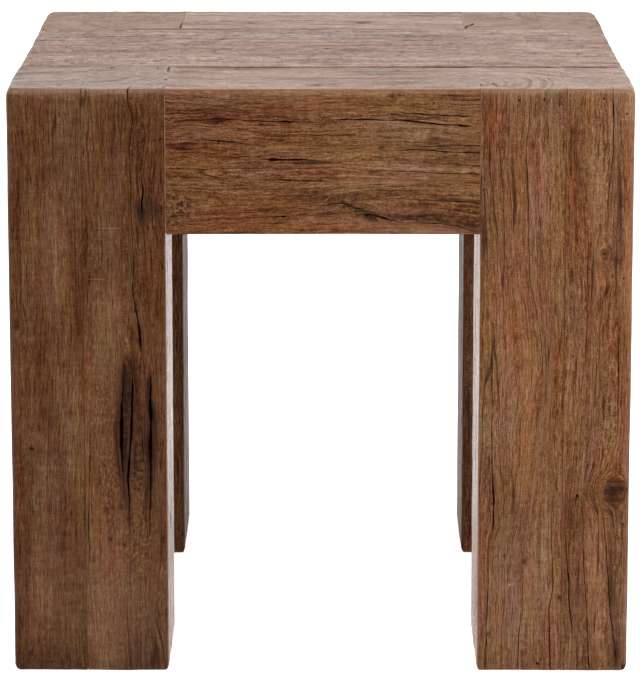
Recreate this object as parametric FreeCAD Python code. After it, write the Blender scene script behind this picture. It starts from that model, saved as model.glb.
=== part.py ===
"""Rustic timber side table: four glued-up legs that run through to the top surface, a
two-lamination apron beam front and back, side rails, and three boards across the middle.

Millimetres, +Z up, the front facing -Y, the origin on the floor under the table's centre.
"""

import os

import FreeCAD
import Part

# Overall size
TABLE_WIDTH = 600.0
TABLE_DEPTH = 600.0
TABLE_HEIGHT = 575.0

# Legs, each glued up from two staves across by two staves deep
LEFT_LEG_WIDTH = 152.0
RIGHT_LEG_WIDTH = 148.0
LEG_DEPTH = 154.0
LEFT_OUTER_STAVE_WIDTH = 72.0
RIGHT_OUTER_STAVE_WIDTH = 66.0
OUTER_STAVE_DEPTH = 78.0

# Apron beams between the legs, each of two laminations, and the side rails
APRON_HEIGHT = 141.0
OUTER_LAMINATION_DEPTH = 78.0
SIDE_RAIL_THICKNESS = 76.0

# Boards across the middle of the top, and where the two seams between them lie, as shares
# of the space between the front and back legs
BOARD_THICKNESS = 40.0
BOARD_END_SETBACK = 2.0
BOARD_SEAM_SHARES = (0.342, 0.699)

# Worn edges
OUTER_CORNER_RADIUS = 9.0
LEG_ARRIS_RADIUS = 4.0
TOP_ARRIS_RADIUS = 4.0
FOOT_ARRIS_RADIUS = 3.0
UNDERSIDE_ARRIS_RADIUS = 2.5

# Loose tenons between the beams and the legs
TENON_THICKNESS = 20.0
TENON_LENGTH = 60.0
TENON_EDGE_RADIUS = 4.0
APRON_TENON_TOP_SHOULDER = 24.0
APRON_TENON_LOWER_SHOULDER = 29.0
RAIL_TENON_TOP_SHOULDER = 18.0
RAIL_TENON_LOWER_SHOULDER = 21.0
TENON_FIT = 0.1
TENON_END_ROOM = 0.5

# Loose tongues in the lengthwise seams of the top
TONGUE_THICKNESS = 8.0
TONGUE_WIDTH = 24.0
TONGUE_STOP = 30.0
TONGUE_FIT = 0.1
TONGUE_EDGE_ROOM = 0.4

# Cleats inside the aprons, and the batten under the boards
CLEAT_THICKNESS = 30.0
CLEAT_HEIGHT = 30.0
BATTEN_WIDTH = 64.0
BATTEN_THICKNESS = 25.0
STRIP_ARRIS_RADIUS = 1.5

# Wood screws
SCREW_RADIUS = 2.5
SCREW_HEAD_RADIUS = 5.5
SCREW_HEAD_HEIGHT = 3.5
SCREW_HEAD_EDGE_RADIUS = 1.0
SCREW_SOCKET_RADIUS = 2.3
SCREW_SOCKET_DEPTH = 2.0
SCREW_TIP_LENGTH = 5.0
SCREW_TIP_RADIUS = 0.5
SCREW_FIT = 0.1
SCREW_HEAD_FIT = 0.5
CLEAT_SCREW_SPACING = 92.0
BATTEN_SCREW_SPACING = 32.0

# How much of the wood's thickness each screw grips under its head, and bites into past the joint
RAIL_GRIP_SHARE = 0.485
RAIL_SCREW_BITE_SHARE = 0.65
BATTEN_SCREW_BITE_SHARE = 0.5
CLEAT_SCREW_BITE_SHARE = 0.37

# How far a cutter runs past what it cuts, and how close counts as the same place
CUT_OVERRUN = 1.0
SAME_PLACE = 0.001

# Places that follow from the sizes above
HALF_WIDTH = TABLE_WIDTH / 2
HALF_DEPTH = TABLE_DEPTH / 2
LEFT_LEG_INSIDE = LEFT_LEG_WIDTH - HALF_WIDTH
RIGHT_LEG_INSIDE = HALF_WIDTH - RIGHT_LEG_WIDTH
FRONT_SEAM = LEG_DEPTH - HALF_DEPTH
BACK_SEAM = HALF_DEPTH - LEG_DEPTH
APRON_UNDERSIDE = TABLE_HEIGHT - APRON_HEIGHT
BOARD_UNDERSIDE = TABLE_HEIGHT - BOARD_THICKNESS
BOARD_END = HALF_WIDTH - BOARD_END_SETBACK
APRON_MIDDLE = (LEFT_LEG_INSIDE + RIGHT_LEG_INSIDE) / 2
INNER_LAMINATION_DEPTH = LEG_DEPTH - OUTER_LAMINATION_DEPTH
SIDE_RAIL_HEIGHT = BOARD_UNDERSIDE - APRON_UNDERSIDE
RAIL_SCREW_LENGTH = RAIL_GRIP_SHARE * SIDE_RAIL_HEIGHT + RAIL_SCREW_BITE_SHARE * BOARD_THICKNESS
BATTEN_SCREW_LENGTH = BATTEN_THICKNESS + BATTEN_SCREW_BITE_SHARE * BOARD_THICKNESS
CLEAT_SCREW_LENGTH = CLEAT_THICKNESS + CLEAT_SCREW_BITE_SHARE * INNER_LAMINATION_DEPTH

UP = FreeCAD.Vector(0, 0, 1)
FRONT = FreeCAD.Vector(0, -1, 0)
BACK = FreeCAD.Vector(0, 1, 0)


def block(x_ends, y_ends, z_ends, grow=(0, 0, 0)):
    """Rectangular solid between pairs of coordinates, grown on both sides along each axis."""
    low = FreeCAD.Vector(min(x_ends) - grow[0], min(y_ends) - grow[1], min(z_ends) - grow[2])
    high = FreeCAD.Vector(max(x_ends) + grow[0], max(y_ends) + grow[1], max(z_ends) + grow[2])
    size = high - low
    return Part.makeBox(size.x, size.y, size.z, low)


def lies_at(edge, axis, place):
    """Whether the whole edge lies at one coordinate along an axis, X, Y or Z."""
    box = edge.BoundBox
    low = getattr(box, axis + "Min")
    high = getattr(box, axis + "Max")
    return abs(low - place) < SAME_PLACE and abs(high - place) < SAME_PLACE


def rounded(shape, radius, chosen):
    """The shape with a fillet along each edge that the test picks."""
    return shape.makeFillet(radius, [edge for edge in shape.Edges if chosen(edge)])


def cut_by(shape, cutters):
    """The shape with every cutter taken out of it."""
    for cutter in cutters:
        shape = shape.cut(cutter)
    return shape


def arris_cutter(corner_x, corner_y, out_x, out_y):
    """What is worn off a vertical arris of a leg between the floor and the aprons."""
    centre_x = corner_x - out_x * LEG_ARRIS_RADIUS
    centre_y = corner_y - out_y * LEG_ARRIS_RADIUS
    bar = block(
        (centre_x, corner_x + out_x * CUT_OVERRUN),
        (centre_y, corner_y + out_y * CUT_OVERRUN),
        (-CUT_OVERRUN, APRON_UNDERSIDE),
    )
    foot = FreeCAD.Vector(centre_x, centre_y, -CUT_OVERRUN)
    post = Part.makeCylinder(LEG_ARRIS_RADIUS, TABLE_HEIGHT, foot, UP)
    return bar.cut(post)


def leg_blank(side, end, width):
    """One leg in one piece. Side is -1 on the left, end is -1 at the front."""
    outer_x = side * HALF_WIDTH
    inner_x = side * (HALF_WIDTH - width)
    outer_y = end * HALF_DEPTH
    inner_y = end * (HALF_DEPTH - LEG_DEPTH)
    leg = block((outer_x, inner_x), (outer_y, inner_y), (0, TABLE_HEIGHT))
    leg = rounded(
        leg, OUTER_CORNER_RADIUS,
        lambda edge: lies_at(edge, "X", outer_x) and lies_at(edge, "Y", outer_y),
    )
    leg = cut_by(leg, [
        arris_cutter(inner_x, outer_y, -side, end),
        arris_cutter(outer_x, inner_y, side, -end),
        arris_cutter(inner_x, inner_y, -side, -end),
    ])
    leg = rounded(leg, FOOT_ARRIS_RADIUS, lambda edge: lies_at(edge, "Z", 0))
    return rounded(
        leg, TOP_ARRIS_RADIUS,
        lambda edge: lies_at(edge, "Z", TABLE_HEIGHT)
        and not lies_at(edge, "X", inner_x) and not lies_at(edge, "Y", inner_y),
    )


def leg_staves(leg, side, end, outer_width):
    """The four staves of a leg, each named by its place in the leg."""
    seam_x = side * (HALF_WIDTH - outer_width)
    seam_y = end * (HALF_DEPTH - OUTER_STAVE_DEPTH)
    columns = {"outer": (seam_x, side * TABLE_WIDTH), "inner": (seam_x, -side * TABLE_WIDTH)}
    face = "front" if end < 0 else "back"
    rows = {face: (seam_y, end * TABLE_DEPTH), "inside": (seam_y, -end * TABLE_DEPTH)}
    height = (-CUT_OVERRUN, TABLE_HEIGHT + CUT_OVERRUN)
    return {
        f"{column}_{row}_stave": leg.common(block(x_ends, y_ends, height))
        for column, x_ends in columns.items() for row, y_ends in rows.items()
    }


def apron_laminations(end):
    """The outer and inner laminations of an apron. End is -1 at the front."""
    outer_y = end * HALF_DEPTH
    glue_y = end * (HALF_DEPTH - OUTER_LAMINATION_DEPTH)
    inner_y = end * (HALF_DEPTH - LEG_DEPTH)
    length = (LEFT_LEG_INSIDE, RIGHT_LEG_INSIDE)
    height = (APRON_UNDERSIDE, TABLE_HEIGHT)
    outer = block(length, (outer_y, glue_y), height)
    outer = rounded(
        outer, TOP_ARRIS_RADIUS,
        lambda edge: lies_at(edge, "Y", outer_y) and lies_at(edge, "Z", TABLE_HEIGHT),
    )
    outer = rounded(
        outer, UNDERSIDE_ARRIS_RADIUS,
        lambda edge: lies_at(edge, "Y", outer_y) and lies_at(edge, "Z", APRON_UNDERSIDE),
    )
    inner = block(length, (glue_y, inner_y), height)
    inner = rounded(
        inner, UNDERSIDE_ARRIS_RADIUS,
        lambda edge: lies_at(edge, "Y", inner_y) and lies_at(edge, "Z", APRON_UNDERSIDE),
    )
    return outer, inner


def side_rail_x_ends(side):
    """Where a side rail's outer and inner faces stand. Side is -1 on the left."""
    return side * BOARD_END, side * (BOARD_END - SIDE_RAIL_THICKNESS)


def side_rail(side):
    """Rail between the front and back legs of one side, under the ends of the boards."""
    x_ends = side_rail_x_ends(side)
    rail = block(x_ends, (FRONT_SEAM, BACK_SEAM), (APRON_UNDERSIDE, BOARD_UNDERSIDE))
    return rounded(
        rail, UNDERSIDE_ARRIS_RADIUS,
        lambda edge: lies_at(edge, "Z", APRON_UNDERSIDE)
        and (lies_at(edge, "X", x_ends[0]) or lies_at(edge, "X", x_ends[1])),
    )


def board_seams():
    """Where the seams of the boards lie along Y, front to back."""
    span = BACK_SEAM - FRONT_SEAM
    return [FRONT_SEAM] + [FRONT_SEAM + share * span for share in BOARD_SEAM_SHARES] + [BACK_SEAM]


def board(front_y, back_y):
    """One board of the top, from side to side, with its two end arrises worn."""
    plank = block((-BOARD_END, BOARD_END), (front_y, back_y), (BOARD_UNDERSIDE, TABLE_HEIGHT))
    return rounded(
        plank, TOP_ARRIS_RADIUS,
        lambda edge: lies_at(edge, "Z", TABLE_HEIGHT)
        and (lies_at(edge, "X", -BOARD_END) or lies_at(edge, "X", BOARD_END)),
    )


def tenon_between(x_ends, y_ends, z_ends, along, room=0, end_room=0):
    """Loose tenon with rounded long edges, or with room its mortises. Along is X or Y."""
    if along == "X":
        grow = (end_room, room, room)
    else:
        grow = (room, end_room, room)
    tenon = block(x_ends, y_ends, z_ends, grow)
    other_axes = {"X": ("Y", "Z"), "Y": ("X", "Z")}[along]
    box = tenon.BoundBox
    corners = [
        (getattr(box, other_axes[0] + across), getattr(box, other_axes[1] + up))
        for across in ("Min", "Max") for up in ("Min", "Max")
    ]
    return rounded(
        tenon, TENON_EDGE_RADIUS + room,
        lambda edge: any(
            lies_at(edge, other_axes[0], across) and lies_at(edge, other_axes[1], up)
            for across, up in corners
        ),
    )


def apron_tenons(side, end, room=0, end_room=0):
    """The two loose tenons between an apron's laminations and one leg."""
    joint_x = LEFT_LEG_INSIDE if side < 0 else RIGHT_LEG_INSIDE
    x_ends = (joint_x - TENON_LENGTH / 2, joint_x + TENON_LENGTH / 2)
    z_ends = (APRON_UNDERSIDE + APRON_TENON_LOWER_SHOULDER, TABLE_HEIGHT - APRON_TENON_TOP_SHOULDER)
    outer_middle = end * (HALF_DEPTH - OUTER_LAMINATION_DEPTH / 2)
    inner_middle = end * (HALF_DEPTH - LEG_DEPTH + INNER_LAMINATION_DEPTH / 2)
    return [
        tenon_between(
            x_ends, (middle - TENON_THICKNESS / 2, middle + TENON_THICKNESS / 2),
            z_ends, "X", room, end_room,
        )
        for middle in (outer_middle, inner_middle)
    ]


def rail_tenon(side, end, room=0, end_room=0):
    """The loose tenon between a side rail and one leg, in the leg's outer stave."""
    stave_width = LEFT_OUTER_STAVE_WIDTH if side < 0 else RIGHT_OUTER_STAVE_WIDTH
    middle = side * (HALF_WIDTH - stave_width / 2)
    joint_y = FRONT_SEAM if end < 0 else BACK_SEAM
    return tenon_between(
        (middle - TENON_THICKNESS / 2, middle + TENON_THICKNESS / 2),
        (joint_y - TENON_LENGTH / 2, joint_y + TENON_LENGTH / 2),
        (APRON_UNDERSIDE + RAIL_TENON_LOWER_SHOULDER, BOARD_UNDERSIDE - RAIL_TENON_TOP_SHOULDER),
        "Y", room, end_room,
    )


def tongue(seam_y, x_ends, room=0, edge_room=0):
    """Loose tongue in a seam of the top, or with room the stopped grooves that hold it."""
    middle_z = TABLE_HEIGHT - BOARD_THICKNESS / 2
    return block(
        (min(x_ends) + TONGUE_STOP, max(x_ends) - TONGUE_STOP),
        (seam_y - TONGUE_WIDTH / 2, seam_y + TONGUE_WIDTH / 2),
        (middle_z - TONGUE_THICKNESS / 2, middle_z + TONGUE_THICKNESS / 2),
        (edge_room, edge_room, room),
    )


def top_tongues(room=0, edge_room=0):
    """The four loose tongues of the top by name, or with room their grooves."""
    between_legs = (LEFT_LEG_INSIDE, RIGHT_LEG_INSIDE)
    full_width = (-BOARD_END, BOARD_END)
    names = ["front_apron_tongue", "front_board_tongue", "back_board_tongue", "back_apron_tongue"]
    spans = [between_legs, full_width, full_width, between_legs]
    return {
        name: tongue(seam, span, room, edge_room)
        for name, seam, span in zip(names, board_seams(), spans)
    }


def cleat(end):
    """Strip along the inside of an apron that carries a board's edge. End is -1 in front."""
    apron_y = end * (HALF_DEPTH - LEG_DEPTH)
    free_y = apron_y - end * CLEAT_THICKNESS
    free_x = BOARD_END - SIDE_RAIL_THICKNESS
    strip = block((-free_x, free_x), (apron_y, free_y), (BOARD_UNDERSIDE - CLEAT_HEIGHT, BOARD_UNDERSIDE))
    return rounded(
        strip, STRIP_ARRIS_RADIUS,
        lambda edge: lies_at(edge, "Y", free_y) and lies_at(edge, "Z", BOARD_UNDERSIDE - CLEAT_HEIGHT),
    )


def batten():
    """Flat strip across the underside of the three boards, from cleat to cleat."""
    underside = BOARD_UNDERSIDE - BATTEN_THICKNESS
    strip = block(
        (APRON_MIDDLE - BATTEN_WIDTH / 2, APRON_MIDDLE + BATTEN_WIDTH / 2),
        (FRONT_SEAM + CLEAT_THICKNESS, BACK_SEAM - CLEAT_THICKNESS),
        (underside, BOARD_UNDERSIDE),
    )
    return rounded(
        strip, STRIP_ARRIS_RADIUS,
        lambda edge: lies_at(edge, "Z", underside) and not lies_at(edge, "Y", edge.BoundBox.YMin),
    )


def screw(head_face, way, length):
    """Pan-head wood screw whose head's outer face is centred at a point, driven one way."""
    head = Part.makeCylinder(SCREW_HEAD_RADIUS, SCREW_HEAD_HEIGHT, head_face, way)
    plane = head_face.dot(way)
    head = rounded(
        head, SCREW_HEAD_EDGE_RADIUS,
        lambda edge: edge.Closed and abs(edge.CenterOfMass.dot(way) - plane) < SAME_PLACE,
    )
    shank = Part.makeCylinder(SCREW_RADIUS, length - SCREW_TIP_LENGTH, head_face, way)
    tip_start = head_face + way * (length - SCREW_TIP_LENGTH)
    tip = Part.makeCone(SCREW_RADIUS, SCREW_TIP_RADIUS, SCREW_TIP_LENGTH, tip_start, way)
    socket = hexagon_prism(head_face, way, SCREW_SOCKET_RADIUS, SCREW_SOCKET_DEPTH)
    return head.fuse([shank, tip]).removeSplitter().cut(socket)


def hexagon_prism(centre, way, radius, depth):
    """Six-sided prism from a point along a direction, for a screw's driving socket."""
    across = UP if abs(way.z) < SAME_PLACE else BACK
    spoke = across * radius
    corners = []
    for turn in range(6):
        turned = FreeCAD.Rotation(way, 360 / 6 * turn).multVec(spoke)
        corners.append(centre + turned)
    outline = Part.makePolygon(corners + [corners[0]])
    return Part.Face(outline).extrude(way * depth)


def screw_hole(head_face, way, length, access):
    """Bore for a screw, with a counterbore for its head that is open for a given depth."""
    radius = SCREW_RADIUS + SCREW_FIT
    bore = Part.makeCylinder(radius, length + SCREW_FIT, head_face, way)
    mouth = head_face - way * access
    counterbore_radius = SCREW_HEAD_RADIUS + SCREW_HEAD_FIT
    counterbore = Part.makeCylinder(counterbore_radius, access + SCREW_HEAD_HEIGHT, mouth, way)
    return bore.fuse(counterbore)


def board_middles(taken):
    """Middle of each board along Y, less the width that something takes beside each apron."""
    seams = board_seams()
    free_ends = [seams[0] + taken] + seams[1:-1] + [seams[-1] - taken]
    return [(front_y + back_y) / 2 for front_y, back_y in zip(free_ends, free_ends[1:])]


def rail_screw_heads(side):
    """Where the heads of a side rail's screws sit, one under each board, clear of the tenons."""
    middle_x = sum(side_rail_x_ends(side)) / 2
    head_z = BOARD_UNDERSIDE - RAIL_GRIP_SHARE * SIDE_RAIL_HEIGHT
    return [FreeCAD.Vector(middle_x, y, head_z) for y in board_middles(TENON_LENGTH / 2)]


def cleat_screw_heads(end):
    """Where the heads of a cleat's screws sit, flush with the cleat's free face."""
    free_y = end * (HALF_DEPTH - LEG_DEPTH - CLEAT_THICKNESS)
    middle_z = BOARD_UNDERSIDE - CLEAT_HEIGHT / 2
    return [
        FreeCAD.Vector(APRON_MIDDLE + step * CLEAT_SCREW_SPACING, free_y, middle_z)
        for step in (-1, 0, 1)
    ]


def batten_screw_heads():
    """Where the heads of the batten's screws sit, two under each board."""
    head_z = BOARD_UNDERSIDE - BATTEN_THICKNESS
    return [
        FreeCAD.Vector(APRON_MIDDLE + step * BATTEN_SCREW_SPACING / 2, y, head_z)
        for y in board_middles(CLEAT_THICKNESS) for step in (-1, 1)
    ]


def save(name, solids):
    """Write one node, which may be a group of separate solids."""
    shape = solids[0] if len(solids) == 1 else Part.makeCompound(solids)
    shape.exportStep(f"parts/{name}.step")
    volume = sum(solid.Volume for solid in solids)
    print(f"{name}: {len(shape.Solids)} solid(s), {volume / 1000:.1f} cm3, valid {shape.isValid()}")


def build():
    """Make every piece, joint by joint, and write it to its own file."""
    os.makedirs("parts", exist_ok=True)
    sides = {"left": -1, "right": 1}
    ends = {"front": -1, "back": 1}
    leg_widths = {"left": LEFT_LEG_WIDTH, "right": RIGHT_LEG_WIDTH}
    stave_widths = {"left": LEFT_OUTER_STAVE_WIDTH, "right": RIGHT_OUTER_STAVE_WIDTH}

    # Legs with their mortises, split into staves
    for end_name, end in ends.items():
        for side_name, side in sides.items():
            leg = leg_blank(side, end, leg_widths[side_name])
            leg = cut_by(leg, apron_tenons(side, end, TENON_FIT, TENON_END_ROOM))
            leg = leg.cut(rail_tenon(side, end, TENON_FIT, TENON_END_ROOM))
            for stave_name, stave in leg_staves(leg, side, end, stave_widths[side_name]).items():
                save(f"{end_name}_{side_name}_leg_{stave_name}", stave.Solids)
            save(f"{end_name}_{side_name}_apron_tenons", apron_tenons(side, end))
            save(f"{end_name}_{side_name}_rail_tenon", [rail_tenon(side, end)])

    # Aprons with their cleats
    for end_name, end in ends.items():
        into_apron = FRONT if end < 0 else BACK
        heads = cleat_screw_heads(end)
        holes = [screw_hole(head, into_apron, CLEAT_SCREW_LENGTH, CUT_OVERRUN) for head in heads]
        outer, inner = apron_laminations(end)
        for side in sides.values():
            outer = cut_by(outer, apron_tenons(side, end, TENON_FIT, TENON_END_ROOM))
            inner = cut_by(inner, apron_tenons(side, end, TENON_FIT, TENON_END_ROOM))
        groove = top_tongues(TONGUE_FIT, TONGUE_EDGE_ROOM)[f"{end_name}_apron_tongue"]
        save(f"{end_name}_apron_outer_lamination", [outer])
        save(f"{end_name}_apron_inner_lamination", [cut_by(inner, [groove] + holes)])
        save(f"{end_name}_cleat", [cut_by(cleat(end), holes)])
        save(f"{end_name}_cleat_screws", [screw(head, into_apron, CLEAT_SCREW_LENGTH) for head in heads])

    # Side rails
    holes_in_boards = []
    for side_name, side in sides.items():
        heads = rail_screw_heads(side)
        access = heads[0].z - APRON_UNDERSIDE + CUT_OVERRUN
        holes = [screw_hole(head, UP, RAIL_SCREW_LENGTH, access) for head in heads]
        mortises = [rail_tenon(side, end, TENON_FIT, TENON_END_ROOM) for end in ends.values()]
        save(f"{side_name}_side_rail", [cut_by(side_rail(side), mortises + holes)])
        save(f"{side_name}_rail_screws", [screw(head, UP, RAIL_SCREW_LENGTH) for head in heads])
        holes_in_boards += holes

    # Batten
    heads = batten_screw_heads()
    holes = [screw_hole(head, UP, BATTEN_SCREW_LENGTH, CUT_OVERRUN) for head in heads]
    save("board_batten", [cut_by(batten(), holes)])
    save("batten_screws", [screw(head, UP, BATTEN_SCREW_LENGTH) for head in heads])
    holes_in_boards += holes

    # Boards and the tongues between them
    grooves = list(top_tongues(TONGUE_FIT, TONGUE_EDGE_ROOM).values())
    seams = board_seams()
    for name, front_y, back_y in zip(("front", "middle", "back"), seams, seams[1:]):
        plank = cut_by(board(front_y, back_y), grooves + holes_in_boards)
        save(f"{name}_top_board", [plank])
    for name, loose_tongue in top_tongues().items():
        save(name, [loose_tongue])


build()
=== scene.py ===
# %% [markdown]
# # A square table of reclaimed timber
#
# The table is glued up from heavy old beams. Four square legs, each of four staves, run
# through to the top, two aprons span between them, and three boards fill the middle.
# Nothing on it is smooth: it has splits, knots, nail holes and worn arrises, and the grain
# bends round all of them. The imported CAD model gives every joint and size, and this lesson
# gives each timber its weathered surface and its finish.

import bpy
import numpy as np
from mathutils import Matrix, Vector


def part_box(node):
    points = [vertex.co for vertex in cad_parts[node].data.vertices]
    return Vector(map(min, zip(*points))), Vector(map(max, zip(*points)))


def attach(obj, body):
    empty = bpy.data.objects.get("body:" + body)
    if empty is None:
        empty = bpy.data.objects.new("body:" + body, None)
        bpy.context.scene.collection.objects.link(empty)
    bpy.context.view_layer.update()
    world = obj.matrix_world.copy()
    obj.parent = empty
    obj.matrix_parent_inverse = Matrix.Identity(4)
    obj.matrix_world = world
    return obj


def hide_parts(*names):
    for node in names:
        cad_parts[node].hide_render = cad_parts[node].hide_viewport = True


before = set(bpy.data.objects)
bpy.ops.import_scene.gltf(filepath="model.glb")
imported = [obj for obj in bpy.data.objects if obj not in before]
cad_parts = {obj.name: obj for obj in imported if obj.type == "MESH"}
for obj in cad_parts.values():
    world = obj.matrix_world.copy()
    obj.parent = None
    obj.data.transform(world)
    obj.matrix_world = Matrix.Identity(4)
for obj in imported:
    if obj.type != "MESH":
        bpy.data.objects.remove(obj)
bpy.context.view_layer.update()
MM = 0.001

# %% [markdown]
# ## The camera
#
# The photo was taken from straight in front, a little above the top, with a long lens from
# some four metres away. The camera tilts down instead of shifting, so that views from other
# sides frame the table in the same way.

# %% The camera
CAMERA_PLACE = (0.0045, -4.0, 1.108)
CAMERA_PITCH_BELOW_LEVEL = 0.2081
CAMERA_TURN = 0.0014
CAMERA_LENS = 205.2
QUARTER_TURN = np.pi / 2

bpy.ops.object.camera_add(
    location=CAMERA_PLACE,
    rotation=(QUARTER_TURN - CAMERA_PITCH_BELOW_LEVEL, 0, CAMERA_TURN),
)
camera = bpy.context.object
camera.data.lens = CAMERA_LENS
bpy.context.scene.camera = camera
bpy.context.scene.view_settings.view_transform = "Standard"

# %% [markdown]
# ## The studio
#
# The photo has a white sweep with no edge in sight. A large pale floor that also glows a
# little stays white up to the horizon and still keeps a faint contact shadow. The room is
# bright behind and above the table and dim in front, which lays a pale sheen over the top
# and leaves the fronts deep in colour. Two wide soft lights stand in front, and the one on
# the right is the stronger, because the right leg is the brighter one in the photo.

# %% The studio
FLOOR_SIZE = 60.0
FLOOR_COLOUR = (0.8, 0.8, 0.8, 1)
FLOOR_ROUGHNESS = 0.9
FLOOR_GLOW = 0.86
WHITE = (1, 1, 1, 1)
ROOM_COLOUR = (1.0, 0.97, 0.96, 1)
UP_AND_BACK = (0, 1, 0.6)
ROOM_FRONT_LEVEL, ROOM_FRONT_BRIGHTNESS = -0.5, 0.25
ROOM_BACK_LEVEL, ROOM_BACK_BRIGHTNESS = 0.3, 1.5


def fill_sockets(node, values):
    """Put values into a node's sockets, each by its name or number."""
    for socket, value in values.items():
        node.inputs[socket].default_value = value


bpy.ops.mesh.primitive_plane_add(size=FLOOR_SIZE)
floor = bpy.context.object
floor.name = "studio_floor"
floor_paint = bpy.data.materials.new("white_sweep")
floor_paint.use_nodes = True
fill_sockets(floor_paint.node_tree.nodes["Principled BSDF"], {
    "Base Color": FLOOR_COLOUR, "Roughness": FLOOR_ROUGHNESS,
    "Emission Color": WHITE, "Emission Strength": FLOOR_GLOW,
})
floor.data.materials.append(floor_paint)

room = bpy.data.worlds.new("white_room")
room.use_nodes = True
room_nodes, room_links = room.node_tree.nodes, room.node_tree.links
background = room_nodes["Background"]
direction = room_nodes.new("ShaderNodeTexCoord")
towards_back = room_nodes.new("ShaderNodeVectorMath")
towards_back.operation = "DOT_PRODUCT"
brightness = room_nodes.new("ShaderNodeMapRange")
fill_sockets(background, {"Color": ROOM_COLOUR})
fill_sockets(towards_back, {1: UP_AND_BACK})
fill_sockets(brightness, {
    "From Min": ROOM_FRONT_LEVEL, "From Max": ROOM_BACK_LEVEL,
    "To Min": ROOM_FRONT_BRIGHTNESS, "To Max": ROOM_BACK_BRIGHTNESS,
})
room_links.new(direction.outputs["Generated"], towards_back.inputs[0])
room_links.new(towards_back.outputs["Value"], brightness.inputs["Value"])
room_links.new(brightness.outputs[0], background.inputs["Strength"])
bpy.context.scene.world = room

# %% Soft lights
def soft_light(name, place, aim, power, size):
    """A square area light at a place, turned to face the point it is aimed at."""
    bpy.ops.object.light_add(type="AREA", location=place)
    light = bpy.context.object
    light.name = name
    light.data.energy = power
    light.data.size = size
    direction = light.location.copy()
    direction.negate()
    direction += type(direction)(aim)
    light.rotation_euler = direction.to_track_quat("-Z", "Y").to_euler()


TABLE_MIDDLE = (0, 0, 0.3)
soft_light("key_light", (2.6, -2.9, 1.9), TABLE_MIDDLE, 34, 1.6)
soft_light("fill_light", (-2.6, -3.2, 1.4), TABLE_MIDDLE, 9, 2.0)

# %% [markdown]
# ## A timber blank
#
# Each timber starts as a cube at the size of its CAD node. Edit mode then subdivides the
# edges along one axis at a time, which gives a regular grid on all six sides. The faces that
# are glued to a neighbour are dissolved back to one flat face each, since nothing of them
# shows. The grid is what the ageing below can move.

# %% Cut a blank
ACROSS_STEP = 1.9 * MM
ALONG_STEP = 3.6 * MM
CLOSE = 0.01 * MM
FACING_SHARE = 0.9
BORE_SIDES = 32


def side_at(axis, end):
    """The name of a side, such as -x or +z, from its axis number and its end, 0 low or 1 high."""
    return "-+"[end] + "xyz"[axis]


def side_of(name):
    """The axis number and the end of a side, from its name."""
    return "xyz".index(name[1]), "-+".index(name[0])


def rows_of(items, what):
    """One vector for each item of a mesh, such as the places of its points, as rows."""
    flat = np.empty(len(items) * 3)
    items.foreach_get(what, flat)
    return flat.reshape(-1, 3)


def pick_alone(thing):
    """Make one object the only selected one, and the active one."""
    bpy.ops.object.select_all(action="DESELECT")
    thing.select_set(True)
    bpy.context.view_layer.objects.active = thing


def select_edges_along(mesh, axis):
    """Select only the edges that run along one axis."""
    ends = np.empty(len(mesh.edges) * 2, np.int32)
    mesh.edges.foreach_get("vertices", ends)
    places = rows_of(mesh.vertices, "co")
    run = places[ends[0::2]] - places[ends[1::2]]
    chosen = np.abs(run[:, axis]) > CLOSE
    picked = np.zeros(len(mesh.vertices), bool)
    picked[ends.reshape(-1, 2)[chosen]] = True
    mesh.polygons.foreach_set("select", np.zeros(len(mesh.polygons), bool))
    mesh.vertices.foreach_set("select", picked)
    mesh.edges.foreach_set("select", chosen)


def timber_blank(name, low, high, grain, hidden):
    """A box with a grid on each side that shows, and one face on each side that is glued."""
    bpy.ops.object.select_all(action="DESELECT")
    size = high - low
    bpy.ops.mesh.primitive_cube_add(size=1, location=(low + high) / 2, scale=size)
    blank = bpy.context.object
    mesh = blank.data
    blank.name = mesh.name = name
    bpy.ops.object.transform_apply(location=True, rotation=True, scale=True)
    steps = [ALONG_STEP if axis == grain else ACROSS_STEP for axis in range(3)]
    counts = [max(2, round(size[axis] / steps[axis])) for axis in range(3)]
    bpy.ops.object.mode_set(mode="EDIT")
    bpy.ops.mesh.select_mode(type="EDGE")
    for axis in range(3):
        bpy.ops.object.mode_set(mode="OBJECT")
        select_edges_along(mesh, axis)
        bpy.ops.object.mode_set(mode="EDIT")
        bpy.ops.mesh.subdivide(number_cuts=counts[axis] - 1)
    bpy.ops.mesh.select_mode(type="FACE")
    for axis, end in map(side_of, hidden):
        bpy.ops.mesh.select_all(action="DESELECT")
        bpy.ops.object.mode_set(mode="OBJECT")
        facing = rows_of(mesh.polygons, "normal")[:, axis] * (-1, 1)[end] > FACING_SHARE
        mesh.polygons.foreach_set("select", facing)
        bpy.ops.object.mode_set(mode="EDIT")
        bpy.ops.mesh.dissolve_faces()
    bpy.ops.object.mode_set(mode="OBJECT")
    return blank, counts


def drill(blank, places, radius, low, high):
    """Round holes up into a blank from its underside, for screws."""
    cutters = []
    for x, y in places:
        bpy.ops.mesh.primitive_cylinder_add(
            vertices=BORE_SIDES, radius=radius, depth=2 * (high - low), location=(x, y, low))
        cutters.append(bpy.context.object)
    for cutter in cutters:
        cutter.select_set(True)
    bpy.context.view_layer.objects.active = cutters[0]
    bpy.ops.object.join()
    bpy.ops.object.transform_apply(location=True, rotation=True, scale=True)
    pick_alone(blank)
    bpy.ops.object.modifier_add(type="BOOLEAN")
    bore = blank.modifiers[-1]
    bore.operation = "DIFFERENCE"
    bore.solver = "EXACT"
    bore.object = cutters[0]
    bpy.ops.object.modifier_apply(modifier=bore.name)
    pick_alone(cutters[0])
    bpy.ops.object.delete()


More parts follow.
